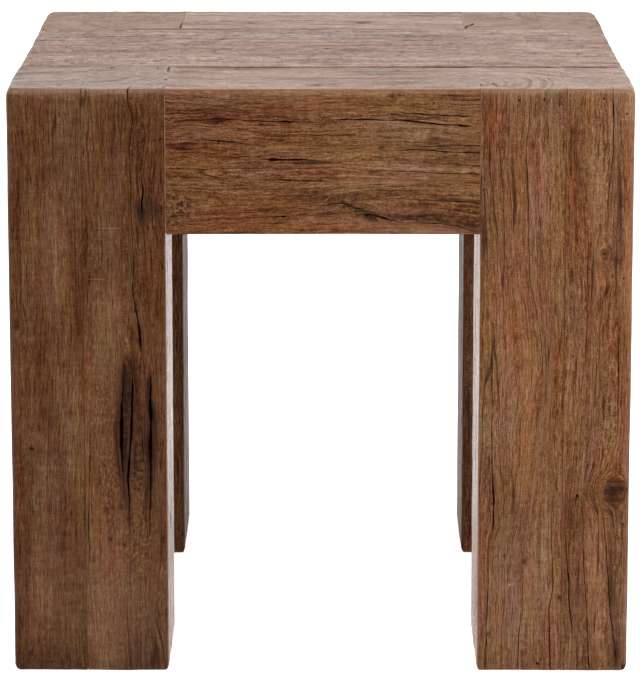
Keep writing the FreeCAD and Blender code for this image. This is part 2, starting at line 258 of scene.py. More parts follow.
# %% [markdown]
# ## Smooth random heights
#
# Weathering is irregular but never jumps. This noise gives each whole-numbered corner of
# space its own fixed random height and blends smoothly between them, so the same seed
# gives the same wood on every run.

# %% Noise for vertices
CORNER_CODES = (374761393, 668265263, 2246822519)
CODE_MASK = 0x7FFFFFFF
SEED_CODE, SEED_START = 7919, 17
MIXING_STEPS = ((13, 1274126177), (15, 461845907))
LAST_SHIFT = 16
MOST_STEPS = 65536


def bumps(places, seed):
    """Heights from -1 to 1 at rows of places, with about one bump for each unit of length."""
    cells = np.floor(places).astype(np.int64)
    part = places - cells
    part = part * part * (3 - 2 * part)
    heights = np.zeros(len(places))
    for corner in np.ndindex(*(2,) * places.shape[1]):
        code = np.full(len(places), seed * SEED_CODE + SEED_START, np.int64)
        weight = np.ones(len(places))
        for axis, step in enumerate(corner):
            code += (cells[:, axis] + step) * CORNER_CODES[axis] & CODE_MASK
            weight *= part[:, axis] if step else 1 - part[:, axis]
        for shift, factor in MIXING_STEPS:
            code = (code ^ code >> shift) * factor & CODE_MASK
        height = (code ^ code >> LAST_SHIFT) % MOST_STEPS / ((MOST_STEPS - 1) / 2) - 1
        heights += weight * height
    return heights


# %% [markdown]
# ## Fibre lines and splits
#
# Wood splits along its fibres, and here the columns of each side's grid are the fibres.
# A split is listed as points along the timber with its width at each, zero where it is
# closed. Three neighbouring columns follow it: the two lips, and the bottom between them,
# which is pushed in later. The other columns bend to make room, as grain does.

# %% Bend the columns along the splits
NARROWEST_LIP = 0.28 * MM
SPLIT_WANDER = 0.5 * MM
WANDER_LENGTH = 16 * MM
FINE_WANDER_SHARE = 0.6
FINE_STEP = (3.1, 1)
RAGGED_STEP = (1.4, 1)
NOISE_APART = 7.3
SPLIT_RAGGED_SHARE = 0.65
FIRST_COLUMN = 0.7 * MM
LEAST_ROOM = FIRST_COLUMN / 4
EASE_LENGTH = 70 * MM


def fibre_lines(rows, columns, splits, seed):
    """Where each column runs in each row, and how wide the splits are open, as two tables."""
    last = len(columns) - 1
    anchors = {
        0: columns[0], 1: columns[0] + FIRST_COLUMN,
        last - 1: columns[-1] - FIRST_COLUMN, last: columns[-1],
    }
    tracks = {index: np.full(len(rows), place) for index, place in anchors.items()}
    gapes = np.zeros((len(rows), len(columns)))
    taken = 2
    splits = sorted(splits, key=lambda split: sum(point[1] for point in split) / len(split))
    for number, split in enumerate(splits):
        along, across, widths = np.array(sorted(split)).T * MM
        middle = max(int(np.argmin(np.abs(columns - across.mean()))), taken + 2)
        if middle > last - 3:
            print("no room for a split at", round(across.mean() / MM), "mm")
            continue
        taken = middle + 1
        eased = [along[0] - EASE_LENGTH, *along, along[-1] + EASE_LENGTH]
        path = np.interp(rows, eased, [columns[middle], *across, columns[middle]])
        opening = np.interp(rows, along, widths, left=0, right=0)
        broad = np.stack([rows / WANDER_LENGTH, np.full(len(rows), number * NOISE_APART)], 1)
        fine = broad * FINE_STEP
        path = path + SPLIT_WANDER * (bumps(broad, seed) + FINE_WANDER_SHARE * bumps(fine, seed + 1))
        opening = opening * (1 + SPLIT_RAGGED_SHARE * bumps(fine * RAGGED_STEP, seed + 2))
        lip = np.maximum(opening / 2, NARROWEST_LIP)
        tracks |= {middle - 1: path - lip, middle: path, middle + 1: path + lip}
        gapes[:, middle] = opening
    indices = sorted(tracks)
    places = np.stack([tracks[index] for index in indices], 1)
    for step in range(1, len(indices)):
        places[:, step] = np.maximum(places[:, step], places[:, step - 1] + LEAST_ROOM)
    places[:, -1] = columns[-1]
    for step in range(len(indices) - 2, 0, -1):
        places[:, step] = np.minimum(places[:, step], places[:, step + 1] - LEAST_ROOM)
    lines = np.array([np.interp(np.arange(last + 1), indices, row) for row in places])
    return lines, gapes


def look_up(table, row, column):
    """Values of a table at fractional rows and columns, by linear blending."""
    low_row = np.clip(np.floor(row).astype(int), 0, table.shape[0] - 2)
    low_column = np.clip(np.floor(column).astype(int), 0, table.shape[1] - 2)
    row_part = row - low_row
    column_part = column - low_column
    near, far = (
        table[low_row, beside] * (1 - row_part) + table[low_row + 1, beside] * row_part
        for beside in (low_column, low_column + 1))
    return near * (1 - column_part) + far * column_part


# %% Splits and marks for a side that the photo doesn't show
SPLIT_SPACING = 27
SPLIT_WIDTHS = [0.5, 0.7, 0.9, 1.6]
SPLIT_CHANCES = [0.35, 0.35, 0.2, 0.1]
SPLIT_LEAN_SHARE = 0.012
CLEAR_OF_ENDS, CLEAR_OF_EDGES = 10, 6


def chance_splits(along_ends, across_ends, seed):
    """A few drying splits at random, in mm, spread across a side and nearly along the grain."""
    random = np.random.default_rng(seed)
    width = across_ends[1] - across_ends[0]
    length = along_ends[1] - along_ends[0]
    count = max(1, round(width / SPLIT_SPACING))
    splits = []
    for step in range(count):
        across = across_ends[0] + width * (step + random.uniform(0.25, 0.75)) / count
        run = length * random.uniform(0.15, 0.6)
        start = along_ends[0] + random.uniform(-0.15, 1.0) * (length - run * 0.6)
        widest = random.choice(SPLIT_WIDTHS, p=SPLIT_CHANCES)
        lean = random.uniform(-SPLIT_LEAN_SHARE, SPLIT_LEAN_SHARE)
        splits.append([
            (start + share * run, across + lean * share * run, widest * (1 - abs(2 * share - 1) ** 2))
            for share in (0, 0.2, 0.5, 0.8, 1)
        ])
    return splits


def chance_marks(side, low, high, grain, seed):
    """Knots, holes, stains and tints at random for a side that the photo doesn't show."""
    random = np.random.default_rng(seed)
    across_axis = 3 - grain - side_of(side)[0]
    low, high = np.array(low) / MM, np.array(high) / MM
    ends = low[grain] + CLEAR_OF_ENDS, high[grain] - CLEAR_OF_ENDS
    edges = low[across_axis] + CLEAR_OF_EDGES, high[across_axis] - CLEAR_OF_EDGES
    marks = {"knots": [], "pits": [], "stains": [], "tints": []}
    for _ in range(random.integers(0, 3)):
        place = (side, random.uniform(*ends), random.uniform(*edges))
        size = random.uniform(2.4, 4.6)
        marks["knots"].append((*place, 1.3 * size, size))
        marks["stains"].append((*place, 3 * size, 2.4 * size, 0.5, 0.25))
    for _ in range(random.integers(1, 5)):
        size = random.uniform(0.9, 1.6)
        marks["pits"].append((side, random.uniform(*ends), random.uniform(*edges), size, size))
    for _ in range(4):
        reach = (random.uniform(24, 90), random.uniform(6, 18))
        place = (side, random.uniform(*ends), random.uniform(*edges))
        marks["stains"].append((*place, *reach, random.uniform(-0.3, 0.5), 0))
        place = (side, random.uniform(*ends), random.uniform(*edges))
        marks["tints"].append((*place, *reach, *random.uniform(-0.2, 0.6, 2), random.uniform(-0.2, 0.4)))
    for _ in range(random.integers(1, 3)):
        reach = (random.uniform(14, 50), random.uniform(5, 12))
        place = (side, random.uniform(*ends), random.uniform(*edges))
        marks["stains"].append((*place, *reach, 0.2, random.uniform(0.3, 0.6)))
    return marks


# %% [markdown]
# ## Worn arrises
#
# Every edge of a timber has its own radius: nine millimetres on the table's corners, four
# along the top, and a fine bevel at the glued seams, which is what makes them show as thin
# lines. The corner square of the grid is pressed onto a quarter circle, first round the
# timber's length and then over its two ends.

# %% Round the arrises
SEAM_RADIUS = 0.2 * MM
WORN_CORNER = 1 * MM
RADIUS_WOBBLE_SHARE = 0.22
WOBBLE_LENGTH = 38 * MM
CAP_SEED_STEP = 9
INWARDS = np.array([1, -1])


def pressed_round(first, second, radius):
    """New distances from two faces for points that a rounded edge of that radius moves."""
    x = radius - first
    y = radius - second
    both = (x > 0) & (y > 0)
    reach = np.hypot(x, y)
    squeeze = np.where(both, np.maximum(x, y) / np.where(both, reach, 1), 1)
    return radius - x * squeeze, radius - y * squeeze


def edge_radius(edges, first_side, second_side, along, seed):
    """Radius of the edge between two sides, at places along the timber."""
    value = edges.get(first_side + second_side, edges.get(second_side + first_side))
    if value is None:
        return np.full(len(along), SEAM_RADIUS)
    points = np.array(value if isinstance(value, list) else [(0, value)]) * MM
    radius = np.interp(along, points[:, 0], points[:, 1])
    wobble = bumps(np.stack([along / WOBBLE_LENGTH, np.full(len(along), float(seed))], 1), seed)
    return np.where(radius > SEAM_RADIUS, radius * (1 + RADIUS_WOBBLE_SHARE * wobble), radius)


def round_arrises(placed, low, high, grain, edges, seed):
    """Move the points of a timber so that each of its twelve edges has its radius."""
    first, second = [axis for axis in range(3) if axis != grain]
    corner_radii = np.empty((2, 2, len(placed)))
    ends = (low, high)
    for first_end, second_end in np.ndindex(2, 2):
        radius = edge_radius(
            edges, side_at(first, first_end), side_at(second, second_end),
            placed[:, grain], seed + first_end * 2 + second_end,
        )
        corner_radii[first_end, second_end] = radius
        corner = ((first, first_end), (second, second_end))
        away = [np.abs(placed[:, axis] - ends[end][axis]) for axis, end in corner]
        for (axis, end), moved in zip(corner, pressed_round(*away, radius)):
            placed[:, axis] = ends[end][axis] + moved * INWARDS[end]
    middle = (low + high) / 2
    for end in (0, 1):
        cap = side_at(grain, end)
        sides = [(axis, (placed[:, axis] > middle[axis]).astype(int)) for axis in (first, second)]
        corner = corner_radii[sides[0][1], sides[1][1], np.arange(len(placed))]
        faces = [np.where(side_end, high[axis], low[axis]) for axis, side_end in sides]
        from_side = [np.abs(placed[:, axis] - face) for (axis, _), face in zip(sides, faces)]
        x, y = (np.maximum(corner - away, 0) for away in from_side)
        in_corner = (corner > WORN_CORNER) & (x > 0) & (y > 0)
        radii = []
        for axis, side_end in sides:
            across = placed[:, second if axis == first else first]
            low_radius, high_radius = (
                edge_radius(edges, cap, side_at(axis, side), across, seed + CAP_SEED_STEP + side)
                for side in (0, 1))
            radii.append(np.where(side_end, high_radius, low_radius))
        from_cap = np.abs(placed[:, grain] - ends[end][grain])
        reach = np.where(in_corner, np.hypot(x, y), 1)
        new_inward, corner_cap = pressed_round(corner - reach, from_cap, np.minimum(*radii))
        shift = new_inward - (corner - reach)
        plain_cap = from_cap
        for number, ((axis, side_end), face) in enumerate(zip(sides, faces)):
            plain, plain_cap = pressed_round(from_side[number], plain_cap, radii[number])
            lean = (x, y)[number] / reach
            moved = np.where(in_corner, from_side[number] + shift * lean, plain)
            placed[:, axis] = face + moved * INWARDS[side_end]
        placed[:, grain] = ends[end][grain] + np.where(in_corner, corner_cap, plain_cap) * INWARDS[end]


# %% [markdown]
# ## Age a timber
#
# The blank's grid is bent along its splits, its arrises are pressed round, and every point
# is then sunk a little along its normal: splits three or four times as deep as they are
# wide, shallow ridges along the grain, and torn patches. Relief only ever goes inwards, so
# no timber grows past its CAD size.
#
# Seven attributes carry what the finish needs. "fibre" is the place in the wood, measured
# from the pith of the tree, and bends with the grain, and "axis" is the way of the grain.
# "knot", "pit" and "scratch" point from the nearest knot, hole or scratch in units of its
# radius, so they stay crisp between the grid's points. "wear" holds how open a split is, which
# the finish paints near black, partly dirt and partly painted shade; how dark the stain is,
# with the painted shade along the top seams; and how torn the surface is. "tone" holds how
# red, grey and pale it is, where pale also carries painted sheen and painted highlights.

# %% Age a timber
SPLIT_DEPTH_FACTOR = 3.6
SPLIT_DEEPEST = 13 * MM
SPLIT_FULL_WIDTH = 0.85 * MM
END_CHECK_REACH = 22 * MM
ON_SIDE_SHARE = 1e-4
SPOT_DEPTH = 25
WAVE_RELIEF, WAVE_SIZE = 0.45 * MM, (130 * MM, 34 * MM, 34 * MM)
RIDGE_RELIEF, RIDGE_SIZE = 0.32 * MM, (46 * MM, 6.2 * MM, 6.2 * MM)
TORN_RELIEF, TORN_SIZE, TORN_BROAD_SHARE = 1.5 * MM, 5.5 * MM, 0.6
LEVEL_AT_SEAM = 0.12
LEVEL_REACH = 9 * MM
GRAIN_SHIFTS = (2, 60)
FAR_MARK = 60.0
POINTING_LAYERS = {"knot": ("knots", 40), "pit": ("pits", 13), "scratch": ("scratches", 24)}
KNOT_BEND, KNOT_BEND_REACH = 0.8, 2.3
KNOT_HOLLOW, KNOT_HOLLOW_SIZE = 0.7 * MM, 4
PIT_DEPTH_SHARE = 1.6
SMOOTH_ANGLE = np.radians(38)


def face_offsets(placed, side, along, across, low, high, grain):
    """Offsets along the grain, across it and into the timber from a point on one of its sides."""
    axis, end = side_of(side)
    run, across_axis = [other for other in range(3) if other != axis]
    if axis != grain:
        run, across_axis = grain, 3 - grain - axis
    place = np.array([along * MM, across * MM, (low, high)[end][axis]])
    return placed[:, [run, across_axis, axis]] - place, across_axis


def spot(offsets, *radii):
    """A soft spot, one at its middle and about a third at its radii, in mm."""
    return np.exp(-((offsets / MM / radii) ** 2).sum(1))


def nearest_marks(placed, marks, low, high, grain, reach):
    """Vector from the nearest mark in units of its radii, far off where none is near."""
    vector = np.full((len(placed), 3), FAR_MARK)
    best = np.full(len(placed), FAR_MARK)
    for side, along, across, long_radius, wide_radius in marks:
        offsets, _ = face_offsets(placed, side, along, across, low, high, grain)
        scaled = offsets / MM / (long_radius, wide_radius, 3 * wide_radius)
        distance = np.linalg.norm(scaled, axis=1)
        near = (distance < best) & (np.linalg.norm(offsets, axis=1) < reach * MM)
        vector[near] = scaled[near]
        best[near] = distance[near]
    return vector


def open_splits(flat, grid, share, counts, low, high, timber):
    """Bend the grid of a timber along its splits, and say how deep and how open each point is."""
    grain = timber["grain"]
    rows = np.linspace(low[grain], high[grain], counts[grain] + 1)
    on_cap = np.minimum(share[:, grain], 1 - share[:, grain]) < ON_SIDE_SHARE
    placed = flat.copy()
    depth = np.zeros(len(flat))
    opened = np.zeros(len(flat))
    for moved in (axis for axis in range(3) if axis != grain):
        facing = 3 - grain - moved
        columns = np.linspace(low[moved], high[moved], counts[moved] + 1)
        moved_to = []
        for end in (0, 1):
            side = side_at(facing, end)
            seed = side_seed(timber, facing, end)
            if side in timber["hidden"]:
                splits = []
            elif side in timber["splits"]:
                splits = timber["splits"][side]
            else:
                splits = chance_splits(rows[[0, -1]] / MM, columns[[0, -1]] / MM, seed)
            lines, gapes = fibre_lines(rows, columns, splits, seed)
            moved_to.append(look_up(lines, grid[:, grain], grid[:, moved]))
            gape = look_up(gapes, grid[:, grain], grid[:, moved])
            into = np.abs(share[:, facing] - end) * (high - low)[facing]
            reach = np.where(on_cap, np.clip(1 - into / END_CHECK_REACH, 0, 1), into < CLOSE)
            depth = np.maximum(depth, np.minimum(gape * SPLIT_DEPTH_FACTOR, SPLIT_DEEPEST) * reach)
            opened = np.maximum(opened, np.clip(gape / SPLIT_FULL_WIDTH, 0, 1) * reach)
        placed[:, moved] = moved_to[0] * (1 - share[:, facing]) + moved_to[1] * share[:, facing]
    return placed, depth, opened


def side_seed(timber, axis, end):
    """The seed for what is random on one side of a timber."""
    return timber["seed"] * 8 + axis * 2 + end


def age_timber(blank, counts, low, high, timber):
    """Bend, round and weather a blank, and write the wood's own coordinates to its points."""
    grain, seed = timber["grain"], timber["seed"]
    first, second = [axis for axis in range(3) if axis != grain]
    mesh = blank.data
    flat = rows_of(mesh.vertices, "co")
    count = len(flat)
    low, high = np.array(low), np.array(high)
    share = (flat - low) / (high - low)
    surface = np.minimum(share, 1 - share).min(1) < ON_SIDE_SHARE
    placed, depth, opened = open_splits(flat, share * counts, share, counts, low, high, timber)
    round_arrises(placed, low, high, grain, timber["edges"], seed)

    def on_side_of(side):
        axis, end = side_of(side)
        return np.abs(share[:, axis] - end) < ON_SIDE_SHARE

    def from_mark(*mark):
        return face_offsets(placed, *mark, low, high, grain)

    stain = np.zeros(count)
    torn = np.zeros(count)
    for *mark, long_radius, wide_radius, amount, roughness in timber["stains"]:
        here = spot(from_mark(*mark)[0], long_radius, wide_radius, SPOT_DEPTH)
        stain += amount * here
        torn = np.maximum(torn, roughness * here)
    tone = np.zeros((count, 3))
    for side, along, across, long_radius, wide_radius, *amounts in timber["tints"]:
        here = spot(from_mark(side, along, across)[0], long_radius, wide_radius, SPOT_DEPTH)
        tone += here[:, None] * amounts
    # Lines along edges: dark seam lines, partly dark joints and partly painted shade of the gaps, and a pale
    # line that is a painted highlight.
    for first_side, second_side, start, dark, pale in timber["edge_lines"]:
        at_edge = (flat[:, grain] > start * MM) & on_side_of(first_side) & on_side_of(second_side)
        stain[at_edge] += dark
        tone[at_edge, 2] += pale
    # Whole sides tinted: the paler tops and inner sides are painted sheen; the boards' tones are their own.
    for side, amounts in timber["side_tones"].items():
        tone[on_side_of(side)] += amounts

    random = np.random.default_rng(seed)
    turn = random.uniform(0, 2 * np.pi)
    pith_distance = random.uniform(*timber["pith"]) * MM
    centre = (low + high) / 2
    centre[first] += np.cos(turn) * pith_distance
    centre[second] += np.sin(turn) * pith_distance
    centre[grain] -= random.uniform(*GRAIN_SHIFTS)
    bent = flat - centre
    for *mark, long_radius, wide_radius in timber["knots"]:
        offsets, across_axis = from_mark(*mark)
        pull = spot(offsets / KNOT_BEND_REACH, 1.2 * long_radius, wide_radius, 3 * wide_radius)
        bent[:, across_axis] -= offsets[:, 1] * KNOT_BEND * pull

    fibre = bent[:, [grain, first, second]]
    wave = bumps(fibre / WAVE_SIZE, seed)
    ridge = bumps(fibre / RIDGE_SIZE, seed + 1)
    ragged = bumps(placed / TORN_SIZE, seed + 2)
    ragged += TORN_BROAD_SHARE * bumps(placed / (2 * TORN_SIZE), seed + 3)
    relief = WAVE_RELIEF * (1 + wave) / 2 + RIDGE_RELIEF * (1 + ridge) / 2
    free = np.ones((count, 3))
    for side, start in timber["covered"].items():
        axis, end = side_of(side)
        away = np.abs(share[:, axis] - end) * (high - low)[axis]
        under = flat[:, grain] > start * MM
        free[under & (away < CLOSE), axis] = 0
        level = np.clip(away / LEVEL_REACH, LEVEL_AT_SEAM, 1)
        relief *= np.where(under, level, 1)
    relief += TORN_RELIEF * torn * np.clip(0.5 + 0.6 * ragged, 0, 1.4)
    for *mark, _, _ in timber["knots"]:
        relief += KNOT_HOLLOW * spot(from_mark(*mark)[0], *[KNOT_HOLLOW_SIZE] * 3)
    depth = (depth + relief) * surface
    for side, along, across, long_radius, wide_radius in timber["pits"]:
        offsets, across_axis = from_mark(side, along, across)
        nearest = int(np.argmin((offsets ** 2).sum(1)))
        for other in {0, 1, 2} - {side_of(side)[0]}:
            placed[nearest, other] -= offsets[nearest, int(other == across_axis)]
        depth[nearest] = max(depth[nearest], PIT_DEPTH_SHARE * min(long_radius, wide_radius) * MM)

    mesh.vertices.foreach_set("co", placed.ravel())
    mesh.update()
    placed -= rows_of(mesh.vertices, "normal") * free * depth[:, None]
    placed = np.clip(placed, low, high)
    mesh.vertices.foreach_set("co", placed.ravel())
    mesh.update()

    layers = {"fibre": fibre}
    for name, (kind, reach) in POINTING_LAYERS.items():
        layers[name] = nearest_marks(placed, timber[kind], low, high, grain, reach)
    layers["wear"] = np.stack([opened, stain, torn], 1)
    layers["tone"] = tone
    layers["axis"] = np.tile(np.eye(3)[grain], (count, 1))
    for name, values in layers.items():
        layer = mesh.attributes.new(name, "FLOAT_VECTOR", "POINT")
        layer.data.foreach_set("vector", values.astype(np.float32).ravel())
    pick_alone(blank)
    bpy.ops.object.shade_smooth_by_angle(angle=SMOOTH_ANGLE)


# %% [markdown]
# ## The wood finish
#
# The pattern is a solid one, worked out in the wood's own coordinates, so long grain, end
# grain and split walls all agree. Growth rings come from the distance to the pith, streaks
# and pores from noise that is stretched along the fibres, and stains and a change of hue
# from soft noise. Open splits and holes are painted near black, partly dirt and partly
# painted shade. The satin oil finish is left to the shader: seen at a low angle, as the
# top is, it reflects the pale room and looks washed out. On top of that, the tops of the
# legs and aprons and the front legs' inner sides get a painted sheen, and the top arrises
# a painted highlight.

# %% A short way to write shader nodes
HALF_GREY = (0.5, 0.5, 0.5)


class Finish:
    """A material and its node tree, with a short method for each kind of node used here."""

    def __init__(self, name):
        self.material = bpy.data.materials.new(name)
        self.material.use_nodes = True
        self.tree = self.material.node_tree
        self.shader = self.tree.nodes["Principled BSDF"]

    def drive(self, socket, value):
        """Give one of the shader's own sockets a number or another node's output."""
        if isinstance(value, bpy.types.NodeSocket):
            self.tree.links.new(value, self.shader.inputs[socket])
        else:
            self.shader.inputs[socket].default_value = value

    def node(self, kind, sockets, **settings):
        """Add a node. A socket's value may be a number, a colour or another node's output."""
        made = self.tree.nodes.new(kind)
        for setting, value in settings.items():
            setattr(made, setting, value)
        for socket, value in sockets.items():
            if isinstance(value, bpy.types.NodeSocket):
                self.tree.links.new(value, made.inputs[socket])
            else:
                made.inputs[socket].default_value = value
        return made

    def attribute(self, name):
        return self.node("ShaderNodeAttribute", {}, attribute_name=name).outputs["Vector"]

    def parts(self, name):
        """The three numbers of an attribute."""
        return tuple(self.node("ShaderNodeSeparateXYZ", {0: self.attribute(name)}).outputs)

    def math(self, operation, *values, clamp=False):
        sockets = dict(enumerate(values))
        return self.node("ShaderNodeMath", sockets, operation=operation, use_clamp=clamp).outputs[0]

    def times(self, *values, clamp=False):
        return self.math("MULTIPLY", *values, clamp=clamp)

    def centred(self, value):
        """A value from 0 to 1, taken round its middle."""
        return self.math("SUBTRACT", value, 0.5)

    def vector(self, operation, *values):
        sockets = dict(enumerate(values))
        made = self.node("ShaderNodeVectorMath", sockets, operation=operation)
        return made.outputs["Value" if operation in ("LENGTH", "DOT_PRODUCT") else "Vector"]

    def noise(self, place, stretch, detail=2.0, roughness=0.5, distortion=0.0, start=None, output=0):
        """Soft noise from 0 to 1 at a place, with so many waves for each metre along each axis."""
        if start:
            place = self.vector("ADD", place, start)
        sockets = {
            "Vector": self.vector("MULTIPLY", place, stretch),
            "Scale": 1.0, "Detail": detail, "Roughness": roughness, "Distortion": distortion,
        }
        return self.node("ShaderNodeTexNoise", sockets, noise_dimensions="3D").outputs[output]

    def shaken(self, place, stretch, reach, base=None, **settings):
        """A base, or else the place itself, moved at random by up to half a reach each way."""
        colour = self.noise(place, stretch, output="Color", **settings)
        shift = self.vector("MULTIPLY", self.vector("SUBTRACT", colour, HALF_GREY), reach)
        return self.vector("ADD", place if base is None else base, shift)

    def line_noise(self, distance, detail, roughness=0.6):
        """Noise from 0 to 1 along one distance only, as in the rings of a tree."""
        sockets = {"W": distance, "Scale": 1.0, "Detail": detail, "Roughness": roughness}
        return self.node("ShaderNodeTexNoise", sockets, noise_dimensions="1D").outputs[0]

    def ramp(self, value, low, high, low_result=0.0, high_result=1.0):
        """A value mapped from one range to another, held at the ends, smooth between them."""
        sockets = {"Value": value, "From Min": low, "From Max": high,
                   "To Min": low_result, "To Max": high_result}
        return self.node("ShaderNodeMapRange", sockets, interpolation_type="SMOOTHSTEP").outputs[0]

    def contours(self, value, thin, wide):
        """1 along the lines where a noise crosses its middle, and 0 away from them."""
        return self.ramp(self.math("ABSOLUTE", self.centred(value)), thin, wide, 1, 0)

    def sum(self, *terms):
        """The sum of a first value and of pairs of a value and its share."""
        total = terms[0]
        for value, share in terms[1:]:
            total = self.math("MULTIPLY_ADD", value, share, total)
        return total

    def swing(self, start, *terms):
        """The sum of a first value and of pairs of a noise, taken round its middle, and its share."""
        return self.sum(start, *((self.centred(value), share) for value, share in terms))

    def mix(self, amount, first, second, blend="MIX"):
        sockets = {0: amount, 6: first, 7: second}
        made = self.node("ShaderNodeMix", sockets, data_type="RGBA", blend_type=blend)
        return made.outputs[2]

    def palette(self, value, stops):
        """A colour between stops, each a place from 0 to 1 and the three numbers of a paint."""
        stops = list(stops)
        made = self.node("ShaderNodeValToRGB", {"Fac": value})
        elements = made.color_ramp.elements
        while len(elements) < len(stops):
            elements.new(0.5)
        for element, (place, mixed) in zip(elements, stops):
            element.position = place
            element.color = paint(*mixed)
        return made.outputs["Color"]

    def raise_bumps(self, height, strength, distance):
        """Fine relief on the shader, from a height."""
        sockets = {"Strength": strength, "Distance": distance, "Height": height}
        self.drive("Normal", self.node("ShaderNodeBump", sockets).outputs[0])


def paint(red, green, blue):
    """A linear colour from a paint given on the usual scale of 0 to 255."""
    shares = np.array([red, green, blue]) / 255
    linear = np.where(shares <= 0.04045, shares / 12.92, ((shares + 0.055) / 1.055) ** 2.4)
    return (*map(float, linear), 1.0)


# %% The finish of the timbers
# Near-black paint inside open splits and holes: partly dirt, partly painted shade.
SPLIT_DIRT_AND_SHADE_PAINTS = [paint(18, 11, 8), paint(58, 38, 31)]
STAIN_PAINTS = [paint(26, 13, 8), paint(70, 43, 32)]
TORN_STOPS = [
    (0.38, (24, 13, 6)), (0.46, (64, 40, 22)), (0.54, (98, 66, 40)), (0.64, (140, 100, 67)),
]
PALETTE_PLACES = (0.0, 0.28, 0.5, 0.72, 1.0)
CHECK_PAINT = paint(38, 15, 6)
KNOT_PAINT = paint(40, 24, 17)
PALE_PAINT = paint(182, 142, 104)
# Colour of the pale patches: on the tops and inner sides a painted sheen, on the top arrises a painted
# highlight.
PALE_AND_SHEEN_PAINT = paint(152, 120, 97)
RED_TINT = (1.16, 0.86, 0.68, 1)
GREY_TINT = (0.8, 0.8, 0.92, 1)
PLUM_LEVEL, PLUM_SWING = 0.90, 0.93
AMBER_LEVEL, AMBER_SWING = 0.80, 1.3
FULLY = 1.0
BUMP_DISTANCE = 0.8 * MM


